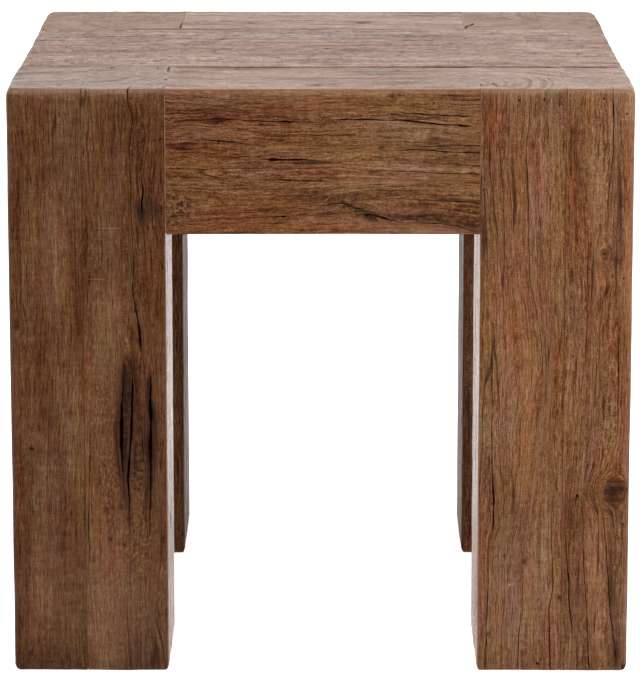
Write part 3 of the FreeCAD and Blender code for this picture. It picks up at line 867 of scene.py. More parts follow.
def wood_finish(
    name, paints, contrast=1.0, eroded=0.3, figured=0.3, satin=0.38, ior=1.12,
    hue=1.0, mottled=1.0, relief=0.6,
):
    """Old oiled wood. Its paints go from the darkest streak to the lightest."""
    finish = Finish(name)
    fibre = finish.attribute("fibre")
    normal = finish.node("ShaderNodeNewGeometry", {}).outputs["Normal"]
    facing = finish.vector("DOT_PRODUCT", normal, finish.attribute("axis"))
    end_grain = finish.ramp(finish.math("ABSOLUTE", facing), 0.6, 0.85)

    # Grain wanders a few millimetres over its length, and less over a finger's width
    wavy = finish.shaken(fibre, (3.5, 13, 13), (0, 0.013, 0.013), detail=2)
    wavy = finish.shaken(fibre, (26, 90, 90), (0, 0.0012, 0.0012), base=wavy, detail=1)

    # Rings: bands of random depth around the pith
    from_pith = finish.vector("LENGTH", finish.vector("MULTIPLY", wavy, (0.018, 1, 1)))
    rings = finish.line_noise(finish.times(from_pith, 230.0), detail=3, roughness=0.62)
    broad = finish.line_noise(finish.times(from_pith, 42.0), detail=1)

    # Fibres: long streaks, short dashes, dark pores and pale flecks
    streak = finish.noise(wavy, (10, 720, 720), detail=2, roughness=0.6)
    dash = finish.noise(wavy, (140, 1300, 1300), detail=1, roughness=0.6)
    pore = finish.ramp(finish.noise(wavy, (42, 950, 950), detail=1), 0.56, 0.68)
    fleck = finish.ramp(finish.noise(wavy, (50, 950, 950), detail=1, start=(3.1, 1.7, 0.4)), 0.57, 0.70)
    grit = finish.noise(fibre, (750, 1400, 1400), detail=0)

    # Hairline checks: the contour lines of a stretched noise, in some places only
    hairline = finish.contours(finish.noise(wavy, (2.6, 62, 62), detail=1.5), 0.003, 0.012)
    hairline = finish.times(hairline, finish.ramp(finish.noise(fibre, (9, 34, 34), detail=1), 0.5, 0.62))

    # End grain has checks that run out from the pith
    outwards = finish.vector("NORMALIZE", finish.vector("MULTIPLY", wavy, (0, 1, 1)))
    spoke = finish.vector("ADD", outwards, finish.vector("MULTIPLY", wavy, (0, 2, 2)))
    check = finish.contours(finish.noise(spoke, (1, 9, 9), detail=2), 0.003, 0.011)
    check = finish.times(check, finish.ramp(finish.noise(fibre, (1, 40, 40), detail=1), 0.46, 0.6))
    hairline = finish.math("MAXIMUM", hairline, finish.times(check, end_grain))

    # Grooves where the soft early wood has worn away
    groove = finish.noise(wavy, (7, 230, 230), detail=2, roughness=0.6)
    groove = finish.ramp(groove, 0.52, 0.66, 0, eroded)

    # Blotches, hue, and a faint figure and nicks across the grain
    blotch = finish.noise(fibre, (6, 19, 19), detail=2, distortion=0.4)
    plum, amber = (
        finish.noise(wavy, (9, 55, 55), detail=4, roughness=0.6, start=start)
        for start in ((1.3, 2.2, 0.7), (4.1, 0.2, 2.9)))
    figure = finish.noise(wavy, (80, 75, 75), detail=3, roughness=0.75)
    ripple = finish.noise(wavy, (260, 48, 48), detail=2, roughness=0.6)
    nick = finish.ramp(finish.noise(fibre, (420, 42, 42), detail=1), 0.70, 0.76)

    opened, stain, torn = finish.parts("wear")
    red, grey, pale = finish.parts("tone")
    ragged = finish.noise(fibre, (240, 520, 520), detail=3, roughness=0.7)

    value = finish.swing(
        0.5, (rings, 0.3 * contrast), (broad, 0.25 * contrast), (streak, finish.sum(contrast, (pale, 0.5))),
        (dash, finish.sum(1.2 * contrast, (pale, 0.6))), (grit, 0.9 * contrast),
        (blotch, 0.55 * contrast * mottled), (figure, finish.sum(figured * contrast, (pale, 0.6))),
        (ripple, finish.sum(figured - 0.1, (pale, 0.6))), (rings, finish.times(end_grain, 2.2)),
    )
    value = finish.sum(
        value, (pore, -0.34 * contrast), (fleck, 0.24 * contrast), (nick, 0.16 * contrast),
        (groove, -0.3), (stain, -0.3), (pale, 0.2),
    )
    colour = finish.palette(value, zip(PALETTE_PLACES, paints))

    # Hue goes from plum to amber
    plum_share = finish.sum(PLUM_SWING * hue, (pale, 0.8))
    green = finish.swing(PLUM_LEVEL, (plum, plum_share))
    blue = finish.swing(AMBER_LEVEL, (amber, AMBER_SWING * hue), (plum, plum_share))
    tint = finish.node("ShaderNodeCombineXYZ", {0: 1.0, 1: green, 2: blue}).outputs[0]
    colour = finish.mix(FULLY, colour, tint, "MULTIPLY")

    # Redder, greyer and paler patches, where pale also paints the sheen on the tops and inner sides and the
    # highlight on the top arrises, and the dark hairlines
    for amount, share, second, blend in (
        (red, 0.8, RED_TINT, "MULTIPLY"), (grey, 0.8, GREY_TINT, "MULTIPLY"),
        (pale, 0.3, PALE_AND_SHEEN_PAINT, "MIX"), (hairline, 0.72, CHECK_PAINT, "MIX"),
    ):
        colour = finish.mix(finish.times(amount, share, clamp=True), colour, second, blend)

    # Torn patches, and stains that soak in along the fibres; the stain also carries the dark seam lines,
    # which are partly painted shade
    colour = finish.mix(finish.times(torn, 1.25, clamp=True), colour, finish.palette(ragged, TORN_STOPS))
    soak = finish.noise(wavy, (22, 420, 420), detail=3, roughness=0.65)
    soaked = finish.swing(finish.math("MINIMUM", stain, 0.85), (soak, 2.4))
    soaked = finish.times(finish.ramp(soaked, 0.3, 1.05, 0, 0.8), finish.ramp(stain, 0.05, 0.3))
    soaked_fibre = finish.noise(wavy, (16, 620, 620), detail=3, roughness=0.65)
    stained = finish.mix(finish.ramp(soaked_fibre, 0.42, 0.6), *STAIN_PAINTS)
    colour = finish.mix(soaked, colour, stained)

    # Pale scratches
    scratch = finish.ramp(finish.vector("LENGTH", finish.attribute("scratch")), 0.5, 1.1, 1, 0)
    scratch = finish.times(scratch, finish.ramp(grit, 0.4, 0.6, 0.0, 0.5))
    colour = finish.mix(scratch, colour, PALE_PAINT)

    # Knots: a dark heart, crooked strokes round it and a soft dark rim
    knot = finish.shaken(
        fibre, (90, 150, 150), (2.0, 1.6, 0), base=finish.attribute("knot"), detail=3, roughness=0.6)
    knot_distance = finish.vector("LENGTH", knot)
    swirl = finish.math("SINE", finish.times(knot_distance, 13.0))
    heart = finish.ramp(knot_distance, 0.15, 0.6, 1, 0)
    knot_dark = finish.sum(0.3, (swirl, 0.28), (heart, 0.6))
    inside = finish.ramp(knot_distance, 0.7, 1.5, 1, 0)
    colour = finish.mix(finish.times(inside, knot_dark, clamp=True), colour, KNOT_PAINT)
    colour = finish.mix(finish.ramp(knot_distance, 0.8, 2.0, 0.2, 0), colour, KNOT_PAINT)

    # Holes and open splits, painted near black: partly dirt, partly painted shade
    pit = finish.ramp(finish.vector("LENGTH", finish.attribute("pit")), 0.7, 1.1, 1, 0)
    splinter = finish.noise(fibre, (90, 560, 560), detail=2, roughness=0.6)
    frayed = finish.ramp(finish.swing(opened, (splinter, 2.2)), 0.4, 0.7)
    dark = finish.math("MAXIMUM", pit, frayed)
    dark = finish.times(dark, finish.ramp(finish.math("MAXIMUM", opened, pit), 0.04, 0.2))
    strand = finish.ramp(finish.noise(fibre, (26, 700, 700), detail=2), 0.42, 0.62)
    colour = finish.mix(dark, colour, finish.mix(strand, *SPLIT_DIRT_AND_SHADE_PAINTS))
    finish.drive("Base Color", colour)

    # Fine relief and gloss
    height = finish.sum(
        0.0, (streak, 0.6), (dash, 1.0), (rings, 0.3), (pore, -0.5), (hairline, -0.7), (pit, -1.0),
        (figure, 0.4 + figured), (ripple, figured), (groove, -1.2), (finish.times(ragged, torn), 4.0),
    )
    finish.raise_bumps(height, relief, BUMP_DISTANCE)
    shine = finish.math("MINIMUM", value, 1.0)
    rough = finish.sum(satin, (shine, -0.25), (pore, 0.15), (groove, 0.2), (torn, 0.3), (dark, 0.4))
    finish.drive("Roughness", rough)
    finish.drive("IOR", ior)
    return finish.material


LEFT_LEG_PAINTS = [(44, 15, 5), (71, 40, 19), (86, 57, 36), (99, 72, 50), (120, 93, 71)]
RIGHT_LEG_PAINTS = [(66, 30, 12), (90, 55, 31), (108, 76, 51), (123, 91, 67), (144, 113, 89)]
# The back legs' wood is darker: partly its own tone, partly painted shade from under the table.
BACK_LEG_SHADED_PAINTS = [(38, 13, 4), (60, 33, 15), (75, 49, 30), (88, 62, 41), (111, 85, 64)]
APRON_PAINTS = [(56, 21, 7), (82, 48, 22), (101, 70, 46), (115, 84, 59), (138, 106, 80)]
BOARD_PAINTS = [(62, 34, 21), (94, 60, 42), (118, 82, 60), (138, 104, 82), (168, 136, 113)]

leg_woods = {
    "left": wood_finish(
        "left_leg_wood", LEFT_LEG_PAINTS, contrast=0.76, figured=0.45, hue=0.85, mottled=1.7),
    "right": wood_finish("right_leg_wood", RIGHT_LEG_PAINTS, contrast=0.9, hue=0.9),
    "back": wood_finish("back_leg_wood", BACK_LEG_SHADED_PAINTS, satin=0.55),
}
apron_wood = wood_finish("apron_wood", APRON_PAINTS, contrast=0.88, eroded=0.5, hue=0.9)
board_wood = wood_finish(
    "board_wood", BOARD_PAINTS, contrast=1.2, eroded=0.6, figured=0.8,
    satin=0.42, ior=1.2, hue=1.1, relief=1.1,
)
print("wood finishes:", len(bpy.data.materials))

# %% [markdown]
# ## The legs
#
# Each leg has four staves. The outer corner of the table is worn to a nine millimetre
# radius. Below the aprons and rails the other arrises are worn too, and above them the
# leg meets its neighbours in a fine seam. The front staves have the splits, knots and
# nail holes of the photo, each as millimetres up the leg and across it.

# %% What the front of each leg shows
APRON_UNDERSIDE = 434.0
CORNER_WEAR = 9.0
TOP_WEAR = 4.0
BOARD_END_WEAR = 2.6
LEG_WEAR = 4.0
FOOT_WEAR = 5.0
JOINT_WEAR = 0.45
UNDER_WEAR = 2.5
LEG_ARRIS = [(APRON_UNDERSIDE - 8, LEG_WEAR), (APRON_UNDERSIDE, JOINT_WEAR)]
SEAM_OPENING = [(-298, 0.6), (0, 0.5), (298, 0.6)]
FRONT_SEAM = [
    (-300, 1.6), (-250, 1.9), (-236, 1.3), (-150, 1.0), (96, 0.9), (112, 3.8), (200, 4.8), (300, 4.6),
]
BACK_SEAM = [
    (-298, 0.6), (-210, 0.9), (-190, 3.2), (-100, 4.4), (60, 4.2), (140, 2.8), (160, 0.7), (298, 0.7),
]
SEAM_END_WEAR = 6.5
TOP_ARRIS = {
    "-": [(-300, CORNER_WEAR), (-276, TOP_WEAR), (-172, TOP_WEAR), (-146, SEAM_END_WEAR)],
    "+": [(146, SEAM_END_WEAR), (172, TOP_WEAR), (276, TOP_WEAR), (300, CORNER_WEAR)],
}

LEFT_OUTER_SPLITS = [
    [(180, -262, 0), (215, -263, 0.4), (262, -262, 0)],
    [(330, -287, 0), (390, -288, 0.4), (440, -288, 0)],
]
LEFT_INNER_SPLITS = [
    [(110, -225.4, 0.5), (138, -225.2, 0.9), (205, -223.8, 0.8), (245, -223.4, 0)],
    [(0, -185, 1.1), (18, -187, 1), (44, -188.5, 0.7), (92, -188.4, 0), (198, -191.5, 0), (212, -192, 1.6),
     (226, -193, 3), (246, -192.6, 3.2), (268, -191.6, 2.2), (290, -190.4, 1.2), (310, -190, 0)],
    [(140, -186, 0), (168, -185.5, 1), (180, -186, 1.8), (194, -186.6, 2.6), (208, -185, 2.4),
     (232, -183.2, 2.2), (258, -182.4, 2.6), (280, -181.2, 2), (300, -181.4, 0.8), (310, -181.5, 0)],
    [(205, -171.5, 0), (215, -171.8, 1), (240, -172.6, 1.3), (256, -173, 0), (315, -172.8, 0),
     (322, -173, 0.8), (333, -174, 2.6), (348, -175, 1.2), (382, -181, 0.8), (412, -179, 0.5),
     (440, -180.4, 0.6), (494, -181.5, 0.7), (516, -181.8, 0.7), (548, -179, 0.8), (560, -182.4, 1.4),
     (575, -183.2, 1.3)],
    [(138, -166.8, 0), (150, -166.4, 1.1), (178, -165, 1.4), (196, -164.4, 1.8), (210, -164.8, 2.6),
     (228, -164.4, 3.2), (252, -164.2, 3.4), (272, -164.4, 2.4), (286, -164, 1.4), (298, -163.6, 0),
     (452, -170.5, 0), (462, -171, 2), (476, -169.4, 1.4), (494, -171.4, 0.8), (532, -167.4, 0)],
    [(12, -153, 0), (20, -153.6, 0.8), (28, -154.6, 0.9), (40, -157.6, 0.9), (60, -162, 0)],
]
RIGHT_INNER_SPLITS = [
    [(0, 161.2, 1.3), (35, 161.6, 1.2), (62, 162.4, 1.2), (88, 163.2, 1), (118, 162.6, 0.9),
     (139, 163.4, 0), (144, 167.8, 1.5), (160, 168, 1.7), (175, 167.4, 1.5), (196, 166.2, 1.1),
     (254, 165.2, 0.9), (314, 165, 0.8), (352, 163.8, 0), (498, 161, 0), (506, 160.8, 1.2),
     (528, 160.8, 1.2), (536, 160.8, 0)],
    [(0, 192.4, 0.9), (39, 193.6, 0.8), (62, 197, 0.6), (98, 196.2, 0.5), (112, 195.6, 0), (296, 214, 0),
     (308, 213.6, 0.5), (330, 211.6, 0.6), (356, 208, 0.6), (391, 200.6, 0.7), (413, 199.4, 0.6),
     (457, 198.2, 0.7), (480, 197.6, 0.8), (502, 195.8, 0.8), (520, 195.6, 0.8), (538, 197.8, 0.7),
     (560, 199.2, 0.6), (568, 199.2, 0)],
    [(0, 224.4, 1.4), (35, 223.8, 1.3), (62, 222.6, 1.1), (71, 224.2, 0.8), (88, 226.4, 0.9),
     (122, 224.6, 0.8), (151, 223.8, 0.6), (166, 223.6, 0)],
]
RIGHT_OUTER_SPLITS = [
    [(36, 245.6, 0), (44, 245, 1.2), (68, 242.4, 1.5), (95, 241.6, 1.3), (124, 238.6, 0.9), (140, 238, 0),
     (268, 246, 0), (282, 246, 0.7), (306, 246, 0.6), (312, 246, 0)],
    [(0, 250.6, 0.9), (30, 250.4, 0.7), (36, 250.4, 0), (385, 260.9, 0), (392, 260.9, 0.8),
     (412, 260.8, 0.8), (420, 260.8, 0)],
    [(0, 262.4, 1.2), (42, 260.4, 1), (75, 258.4, 1), (108, 256, 0.8), (155, 254.6, 0.5), (166, 254.4, 0)],
    [(40, 268, 0), (46, 267.8, 0.8), (57, 267.8, 0.6), (62, 267.8, 0), (436, 274.2, 0), (465, 274.2, 0.6),
     (487, 275.6, 0.8), (512, 278.6, 0.9), (534, 277.9, 0.9), (549, 278.6, 1.2), (570, 277.2, 1),
     (575, 277.2, 0.8)],
    [(10, 289, 0), (16, 288.6, 0.9), (30, 286.6, 1), (56, 282.8, 0.9), (82, 280.6, 0.8), (110, 278.6, 0.7),
     (155, 275, 0.5), (172, 272, 0), (240, 287, 0), (262, 286.6, 0.9), (330, 286.4, 1), (350, 286.2, 0)],
]
FRONT_FACES = {
    "front_left_leg_outer_front_stave": {
        "splits": LEFT_OUTER_SPLITS,
        "knots": [
            (224, -280.8, 4.1, 3), (16.8, -248.4, 3.2, 2.4), (18.7, -283.4, 3.2, 2.4),
            (347, -292, 4.7, 3.5),
        ],
        "pits": [(224, -279.5, 1.6, 1.6), (16, -248, 0.9, 0.9)],
        "stains": [
            (330, -300, 60, 9, 0.5, 0), (150, -300, 120, 7, 0.3, 0), (285, -266, 44, 9, 0.35, 0),
            (300, -238, 70, 5, -0.25, 0), (520, -262, 22, 20, 0.25, 0), (410, -262, 40, 14, -0.15, 0),
            (225, -270, 10, 16, 0.2, 0), (0, -262, 30, 60, 0.5, 0.2), (40, -296, 60, 6, 0.3, 0),
            (452, -292, 30, 8, 0.4, 0), (480, -282, 10, 9, 0.35, 0), (490, -272, 7, 8, 0.4, 0),
            (494, -262, 6, 7, 0.35, 0), (430, -270, 16, 10, -0.25, 0), (120, -240, 70, 6, -0.15, 0),
            (140, -273, 70, 5, -0.35, 0), (72, -268, 12, 9, -0.3, 0), (130, -250, 60, 5, 0.3, 0),
            (256, -262, 10, 20, 0.35, 0), (205, -264, 5, 14, -0.35, 0), (100, -288, 80, 4, 0.3, 0),
        ],
        "tints": [
            (560, -262, 26, 34, 0.1, 0.35, 0), (300, -296, 150, 7, 0.25, 0.3, 0),
            (250, -272, 50, 14, 0.1, 0.4, 0), (420, -250, 60, 16, 0, -0.1, 0.15),
            (190, -252, 50, 18, 0.1, 0, 0.1), (80, -256, 60, 34, 0, 0.1, 0.35),
            # The pale band at 572 mm, under the top arris, is a painted highlight.
            (572, -262, 3, 60, 0, 0, 0.9), (8, -262, 26, 60, 0, 0.8, 0),
        ],
        "scratches": [(565, -239, 0.6, 4), (560, -234, 1.6, 0.6)],
    },
    "front_left_leg_inner_front_stave": {
        "splits": LEFT_INNER_SPLITS,
        "knots": [
            (456, -171.5, 3.4, 2.4), (134, -204, 3, 2.2), (128, -191, 2.7, 2), (162, -207, 2.7, 2),
            (168, -194, 2.7, 2),
        ],
        "pits": [(134, -203.5, 0.9, 0.9), (128, -191.2, 0.9, 0.9)],
        "stains": [
            (457, -170, 8, 7, 1, 0.4), (458, -158, 6, 9, 0.8, 0.4), (472, -164, 16, 5, 0.55, 0.2),
            (443, -173, 11, 4, 0.5, 0.1), (460, -151, 10, 4, 0.6, 0.4), (540, -200, 30, 26, 0.35, 0),
            (500, -190, 40, 30, 0.2, 0), (250, -186, 62, 13, 0.45, 0.2), (232, -164, 40, 6, 0.5, 0),
            (205, -176, 30, 9, 0.2, 0.5), (270, -212, 50, 13, -0.1, 0.35), (190, -206, 50, 14, -0.1, 0.4),
            (130, -178, 40, 14, 0, 0.35), (340, -216, 30, 8, 0, 0.3), (400, -218, 40, 5, 0, 0.25),
            (60, -196, 50, 26, 0, 0.2), (236, -193, 38, 6.5, 0.75, 0.1), (200, -190, 28, 5, 0.6, 0.2),
            (262, -182, 46, 5, 0.65, 0.1), (206, -186, 26, 5, 0.7, 0.2), (242, -164, 36, 6, 0.85, 0.1),
            (196, -165, 28, 4.5, 0.65, 0.2), (332, -174, 9, 2.4, 0.9, 0), (300, -178, 18, 5, 0.5, 0.1),
            (284, -181.6, 30, 2.4, 0.9, 0), (238, -195.4, 32, 2.6, 0.9, 0), (220, -189.4, 26, 2.4, 0.9, 0),
            (298, -190.6, 16, 2, 0.8, 0), (194, -187.8, 22, 2, 0.9, 0), (254, -187.4, 40, 2.4, 0.6, 0),
            (262, -167.2, 30, 2.4, 0.9, 0), (236, -161.4, 26, 2, 0.9, 0), (212, -167.4, 24, 2.2, 0.9, 0),
            (174, -168, 24, 2, 0.8, 0), (290, -164.6, 12, 2, 0.9, 0), (160, -186.4, 20, 1.8, 0.7, 0),
            (240, -214, 44, 10, -0.2, 0), (330, -205, 16, 12, -0.4, 0), (130, -150, 60, 5, 0.3, 0),
            (14, -168, 34, 22, 0.45, 0), (0, -190, 20, 60, 0.35, 0.1),
        ],
        "tints": [
            (300, -223, 46, 5, 1, 0, 0), (362, -208, 14, 16, 0.6, 0, 0.3), (240, -184, 60, 14, 0, 1, 0),
            (180, -208, 40, 14, 0.7, 0, 0), (120, -200, 24, 20, 0.6, 0, 0.1),
            (390, -160, 30, 8, 0.5, 0, 0), (60, -200, 40, 24, 0.3, 0, 0.1),
            # The pale band at 572 mm, under the top arris, is a painted highlight.
            (40, -190, 90, 50, 0, 0.1, 0.4), (572, -190, 3, 60, 0, 0, 0.9), (20, -164, 36, 20, 0, 0.8, 0),
        ],
        "scratches": [(440.5, -203, 0.45, 17), (391, -216, 0.45, 11), (421, -213, 0.35, 7)],
    },
    "front_right_leg_inner_front_stave": {
        "splits": RIGHT_INNER_SPLITS,
        "knots": [(112, 197.6, 3.5, 2.6), (38, 163.5, 3.2, 2.4), (75, 233, 2.7, 2)],
        "pits": [
            (564, 188.6, 1.5, 1.5), (565, 212.6, 1.2, 1.2), (117.7, 178.2, 0.9, 0.9), (8, 211.9, 1.6, 1.6),
            (74.9, 232.2, 1, 1), (478, 156, 1.2, 1.2), (452, 157, 1, 1),
        ],
        "stains": [
            (500, 158, 60, 5, 0.25, 0.12), (300, 200, 90, 16, -0.15, 0), (470, 215, 40, 12, -0.2, 0),
            (560, 156, 12, 8, 0.4, 0.1), (0, 200, 26, 50, 0.2, 0), (420, 155, 30, 3, 0.5, 0),
        ],
        "tints": [
            (100, 180, 90, 26, 0, 0.35, 0), (470, 190, 80, 20, 0.2, 0, 0.1),
            (300, 190, 90, 20, 0.1, 0, 0.15), (545, 160, 30, 9, 0.7, 0, 0),
            # The pale band at 572 mm, under the top arris, is a painted highlight.
            (50, 190, 100, 50, 0, 0.1, 0.45), (572, 190, 3, 60, 0, 0, 0.9),
        ],
        "scratches": [(88, 184, 1.6, 1.8), (22, 196, 0.4, 7), (31, 200, 0.4, 5)],
    },
    "front_right_leg_outer_front_stave": {
        "splits": RIGHT_OUTER_SPLITS,
        "knots": [(183, 285, 6.4, 9.4), (417, 272, 4.3, 3.2), (175, 248.4, 3.6, 2.4)],
        "pits": [
            (565.5, 268.8, 1.3, 1.3), (551, 290.8, 1.1, 1.1), (469, 292.5, 1.1, 1.1),
            (391.7, 290.4, 1.2, 1.2), (148.4, 293, 1.4, 1.4), (177, 248.4, 1.6, 1.6), (4, 296.9, 3.2, 3.2),
        ],
        "stains": [
            (470, 285.6, 80, 3.2, 0.75, 0), (510, 244, 62, 8, 0.5, 0), (360, 262, 60, 14, 0.12, 0),
            (183, 285, 9, 12, 0.55, 0.35), (166, 284, 14, 11, 0.4, 0.2), (158, 246, 22, 9, 0.55, 0.1),
            (90, 240, 60, 4, 0.35, 0), (90, 288, 60, 8, 0.3, 0), (95, 283, 60, 4, 0.75, 0),
            (20, 288, 22, 7, 0.8, 0.2), (410, 286, 8, 9, 0.5, 0.2), (470, 262, 60, 7, -0.25, 0),
            (250, 290, 60, 6, -0.25, 0), (380, 296, 120, 4, -0.3, 0), (0, 262, 24, 50, 0.2, 0),
        ],
        "tints": [
            (470, 284, 90, 5, 0, 0.8, 0), (90, 285, 70, 8, 0, 0.9, 0), (400, 295, 150, 5, 0.8, 0, 0.2),
            (560, 295, 16, 7, 0.9, 0, 0.7), (140, 270, 30, 12, 0.4, 0, 0.1), (60, 270, 60, 8, 0.4, 0, 0.2),
            # The pale band at 572 mm, under the top arris, is a painted highlight.
            (480, 262, 60, 9, 0.4, 0, 0.1), (50, 266, 90, 40, 0, 0.1, 0.4), (572, 270, 3, 60, 0, 0, 0.9),
        ],
        "scratches": [(105, 286, 2, 1.2), (546, 288, 0.6, 4)],
    },
}

TOP_PITS = {
    "front_left_leg_inner_inside_stave": [
        (-149.6, -152, 1.4, 4), (-149.8, -165, 1.8, 6), (-149.4, -178, 1, 4), (-206, -152, 1.3, 3),
    ],
    "front_left_leg_inner_front_stave": [(-149.6, -236, 0.9, 3), (-149.8, -288, 1.2, 3)],
    "front_left_leg_outer_front_stave": [(-250, -274, 1.6, 3)],
    "front_right_leg_inner_front_stave": [(153.6, -271, 1.3, 5), (165, -264, 1.3, 5), (168, -275, 1, 3)],
    "back_left_leg_inner_inside_stave": [
        (-149.6, 154, 1, 5), (-149.6, 166, 1, 8), (-149.6, 182, 0.8, 8), (-149.6, 196, 0.7, 7),
    ],
    "back_right_leg_inner_inside_stave": [
        (153.2, 153, 1.2, 5), (154.6, 164, 1.2, 6), (158.5, 176, 1.6, 5), (162, 187, 1.3, 7),
    ],
}

# %% Every stave's data
AWAY = {"-": "+", "+": "-"}
WHOLE_LENGTH = -1000
LEG_PITH = (70, 130)
GLUE_LINE_DARK = 0.5
TOP_GLUE_LINE_DARK = 0.6
APRON_END_DARK = 0.8
# Dark line where the tops meet the boards: partly a dark joint, partly painted shade of the gap.
SEAM_DARK_AND_SHADE = 0.9
# Painted highlight: a pale line down the left leg's inner front edge, beside the apron.
JOINT_HIGHLIGHT_STAVE, JOINT_HIGHLIGHT_SHARE = "front_left_leg_inner_front_stave", 3.0
# Painted sheen: the tops of the legs and aprons are painted paler, and the back ones greyer too.
TOP_PAINTED_SHEEN = {"front": (0.0, 0.0, 1.2), "back": (0.0, 0.15, 1.9)}
# Painted sheen: the front legs' inner sides are painted paler and redder, standing in for the bright room
# they reflect.
INSIDE_PAINTED_SHEEN = (0.3, 0.0, 1.1)


def on_side(side, marks):
    """Marks given without their side, put on one side."""
    return [(side, *mark) for mark in marks]


def stave(end_name, end, side_name, out, column, row):
    """The name and data of one stave of a leg."""
    name = f"{end_name}_{side_name}_leg_{column}_{row}_stave"
    inner, inside = column == "inner", row == "inside"
    side_x = (AWAY[out] if inner else out) + "x"
    side_y = (AWAY[end] if inside else end) + "y"
    hidden = [AWAY[side_x[0]] + "x", AWAY[side_y[0]] + "y"]
    covered = {side: 0 for side in hidden}
    edges = {"-z" + side_x: FOOT_WEAR, "-z" + side_y: FOOT_WEAR}
    edges[side_x + side_y] = LEG_ARRIS if inner or inside else CORNER_WEAR
    lines = [(hidden[0], side_y, 0, GLUE_LINE_DARK, 0), (hidden[1], side_x, 0, GLUE_LINE_DARK, 0)]
    lines += [(side, "+z", WHOLE_LENGTH, TOP_GLUE_LINE_DARK, 0) for side in hidden]
    # The top of every stave gets the painted sheen.
    tones = {"+z": TOP_PAINTED_SHEEN[end_name]}
    if inner:
        covered[side_x] = APRON_UNDERSIDE
        lines.append((side_x, "+z", WHOLE_LENGTH, APRON_END_DARK, 0))
        # The front legs' inner sides get the painted sheen.
        if end_name == "front":
            tones[side_x] = INSIDE_PAINTED_SHEEN
    else:
        edges["+z" + side_x] = TOP_ARRIS[end]
    if inside:
        covered[side_y] = APRON_UNDERSIDE
        lines.append((side_y, "+z", WHOLE_LENGTH, SEAM_DARK_AND_SHADE, 0))
        if end_name == "front":
            edges["+z" + side_y] = FRONT_SEAM
    else:
        edges["+z" + side_y] = TOP_WEAR if inner else TOP_ARRIS[out]
    # The painted highlight line on the left leg's edge by the apron.
    if name == JOINT_HIGHLIGHT_STAVE:
        lines.append(("+x", "-y", APRON_UNDERSIDE, 0, JOINT_HIGHLIGHT_SHARE))
    face = FRONT_FACES.get(name, {})
    data = {
        "grain": 2, "hidden": hidden, "covered": covered, "edges": edges, "edge_lines": lines,
        "side_tones": tones, "pith": LEG_PITH, "splits": {side_y: face["splits"]} if face else {},
        "wood": leg_woods[side_name if end_name == "front" else "back"], "slot": "leg_wood",
    }
    for kind in ("knots", "pits", "stains", "tints", "scratches"):
        data[kind] = on_side(side_y, face.get(kind, []))
    data["pits"] += on_side("+z", TOP_PITS.get(name, []))
    return name, data


timbers = dict(
    stave(end_name, end, side_name, out, column, row)
    for end_name, end in (("front", "-"), ("back", "+"))
    for side_name, out in (("left", "-"), ("right", "+"))
    for column in ("outer", "inner")
    for row in (end_name, "inside")
)
print(len(timbers), "staves")

# %% [markdown]
# ## The aprons, rails and boards
#
# The front apron carries the table's best figure: a long wavy split with a knot in it, a
# short black one below, and a torn grey band that runs down to the right corner.

# %% What the front apron shows
APRON_SPLITS = [
    [(-115, 566.5, 0), (-108, 566.6, 0.8), (-101, 566.4, 0)],
    [(-148, 552, 0.6), (-132, 551.4, 0.8), (-119, 550.6, 0), (68, 553.8, 0), (80, 552, 0.9),
     (94, 550.6, 1.1), (120, 549.6, 1.2), (140, 549, 1.1), (146, 549, 0)],
    [(-140, 543, 0), (-130, 543.8, 0.7), (-99.4, 546.6, 1.2), (-70, 544.6, 0.9), (-35, 543.4, 1.4),
     (-10, 542.8, 1.3), (2.4, 542.6, 0), (7.8, 546, 0), (20, 545.6, 1.3), (38, 545.3, 1.3),
     (72, 545.3, 1.5), (94, 543.6, 1.4), (115, 540.8, 1.6), (138, 539.2, 1.8), (145, 539, 0)],
    [(-114, 526.4, 0), (-107, 525.8, 1), (-99, 524.8, 1.6), (-86, 523.8, 0.8), (-72, 522.4, 0),
     (86, 520, 0), (100, 519.8, 0.7), (130, 520.4, 0.8), (151, 520.8, 0.6)],
    [(70, 516.2, 0), (84, 516.4, 1), (94, 517, 0.7), (115, 515, 1), (140, 513.8, 0.9), (151, 513.5, 1)],
    [(-56, 507, 0), (-52, 507, 1.8), (-46, 507.4, 3.2), (-34, 507.2, 2.6), (-20, 506.6, 1.4),
     (-4, 506, 0.6), (6, 505.8, 0)],
    [(-148, 497.8, 0.5), (-100, 498.2, 0.5), (-56, 498.5, 0.6), (18, 499.6, 0.4), (50, 496.4, 0.6),
     (100, 494.6, 0.6), (151, 493, 0.8)],
    [(-52, 488.2, 0), (-42, 487.8, 0.8), (-28, 487.2, 1.6), (-22, 487, 0), (-16, 486.5, 0.9),
     (0, 486.2, 0.9), (6, 486.2, 0)],
    [(-84, 473.3, 0), (-50, 473, 0.5), (-12, 472, 0.6), (-4, 472, 0), (42, 477.6, 0), (60, 477.4, 0.7),
     (94, 477, 0.6), (104, 477, 0)],
    [(80, 468.4, 0), (98, 468, 0.8), (115, 467.4, 0.7), (140, 465.8, 0.9), (152, 465.2, 0.9)],
    [(-56, 452.6, 0), (-46, 452.2, 0.6), (-36, 451.8, 1.2), (-31, 451.8, 0), (40, 455, 0), (52, 452.6, 1.8),
     (65, 448.8, 1.3), (76, 446, 0.6), (95, 445, 0.5), (114, 446, 0.8), (126, 443, 0.8), (146, 438.5, 0.3)],
    [(-30, 464, 0), (4, 463, 0.5), (20, 465.4, 0.9), (32, 461, 1), (42, 458, 0.6), (48, 456.5, 0)],
]
APRON_KNOTS = [
    (-99.4, 546.7, 5.7, 4.2), (67.7, 566.9, 4.1, 3), (111, 526.8, 4.1, 3), (116.6, 514, 3.2, 2.4),
    (149, 514, 4.3, 3.2), (59, 518.2, 3.2, 2.4), (46.6, 452.6, 5.4, 4),
]
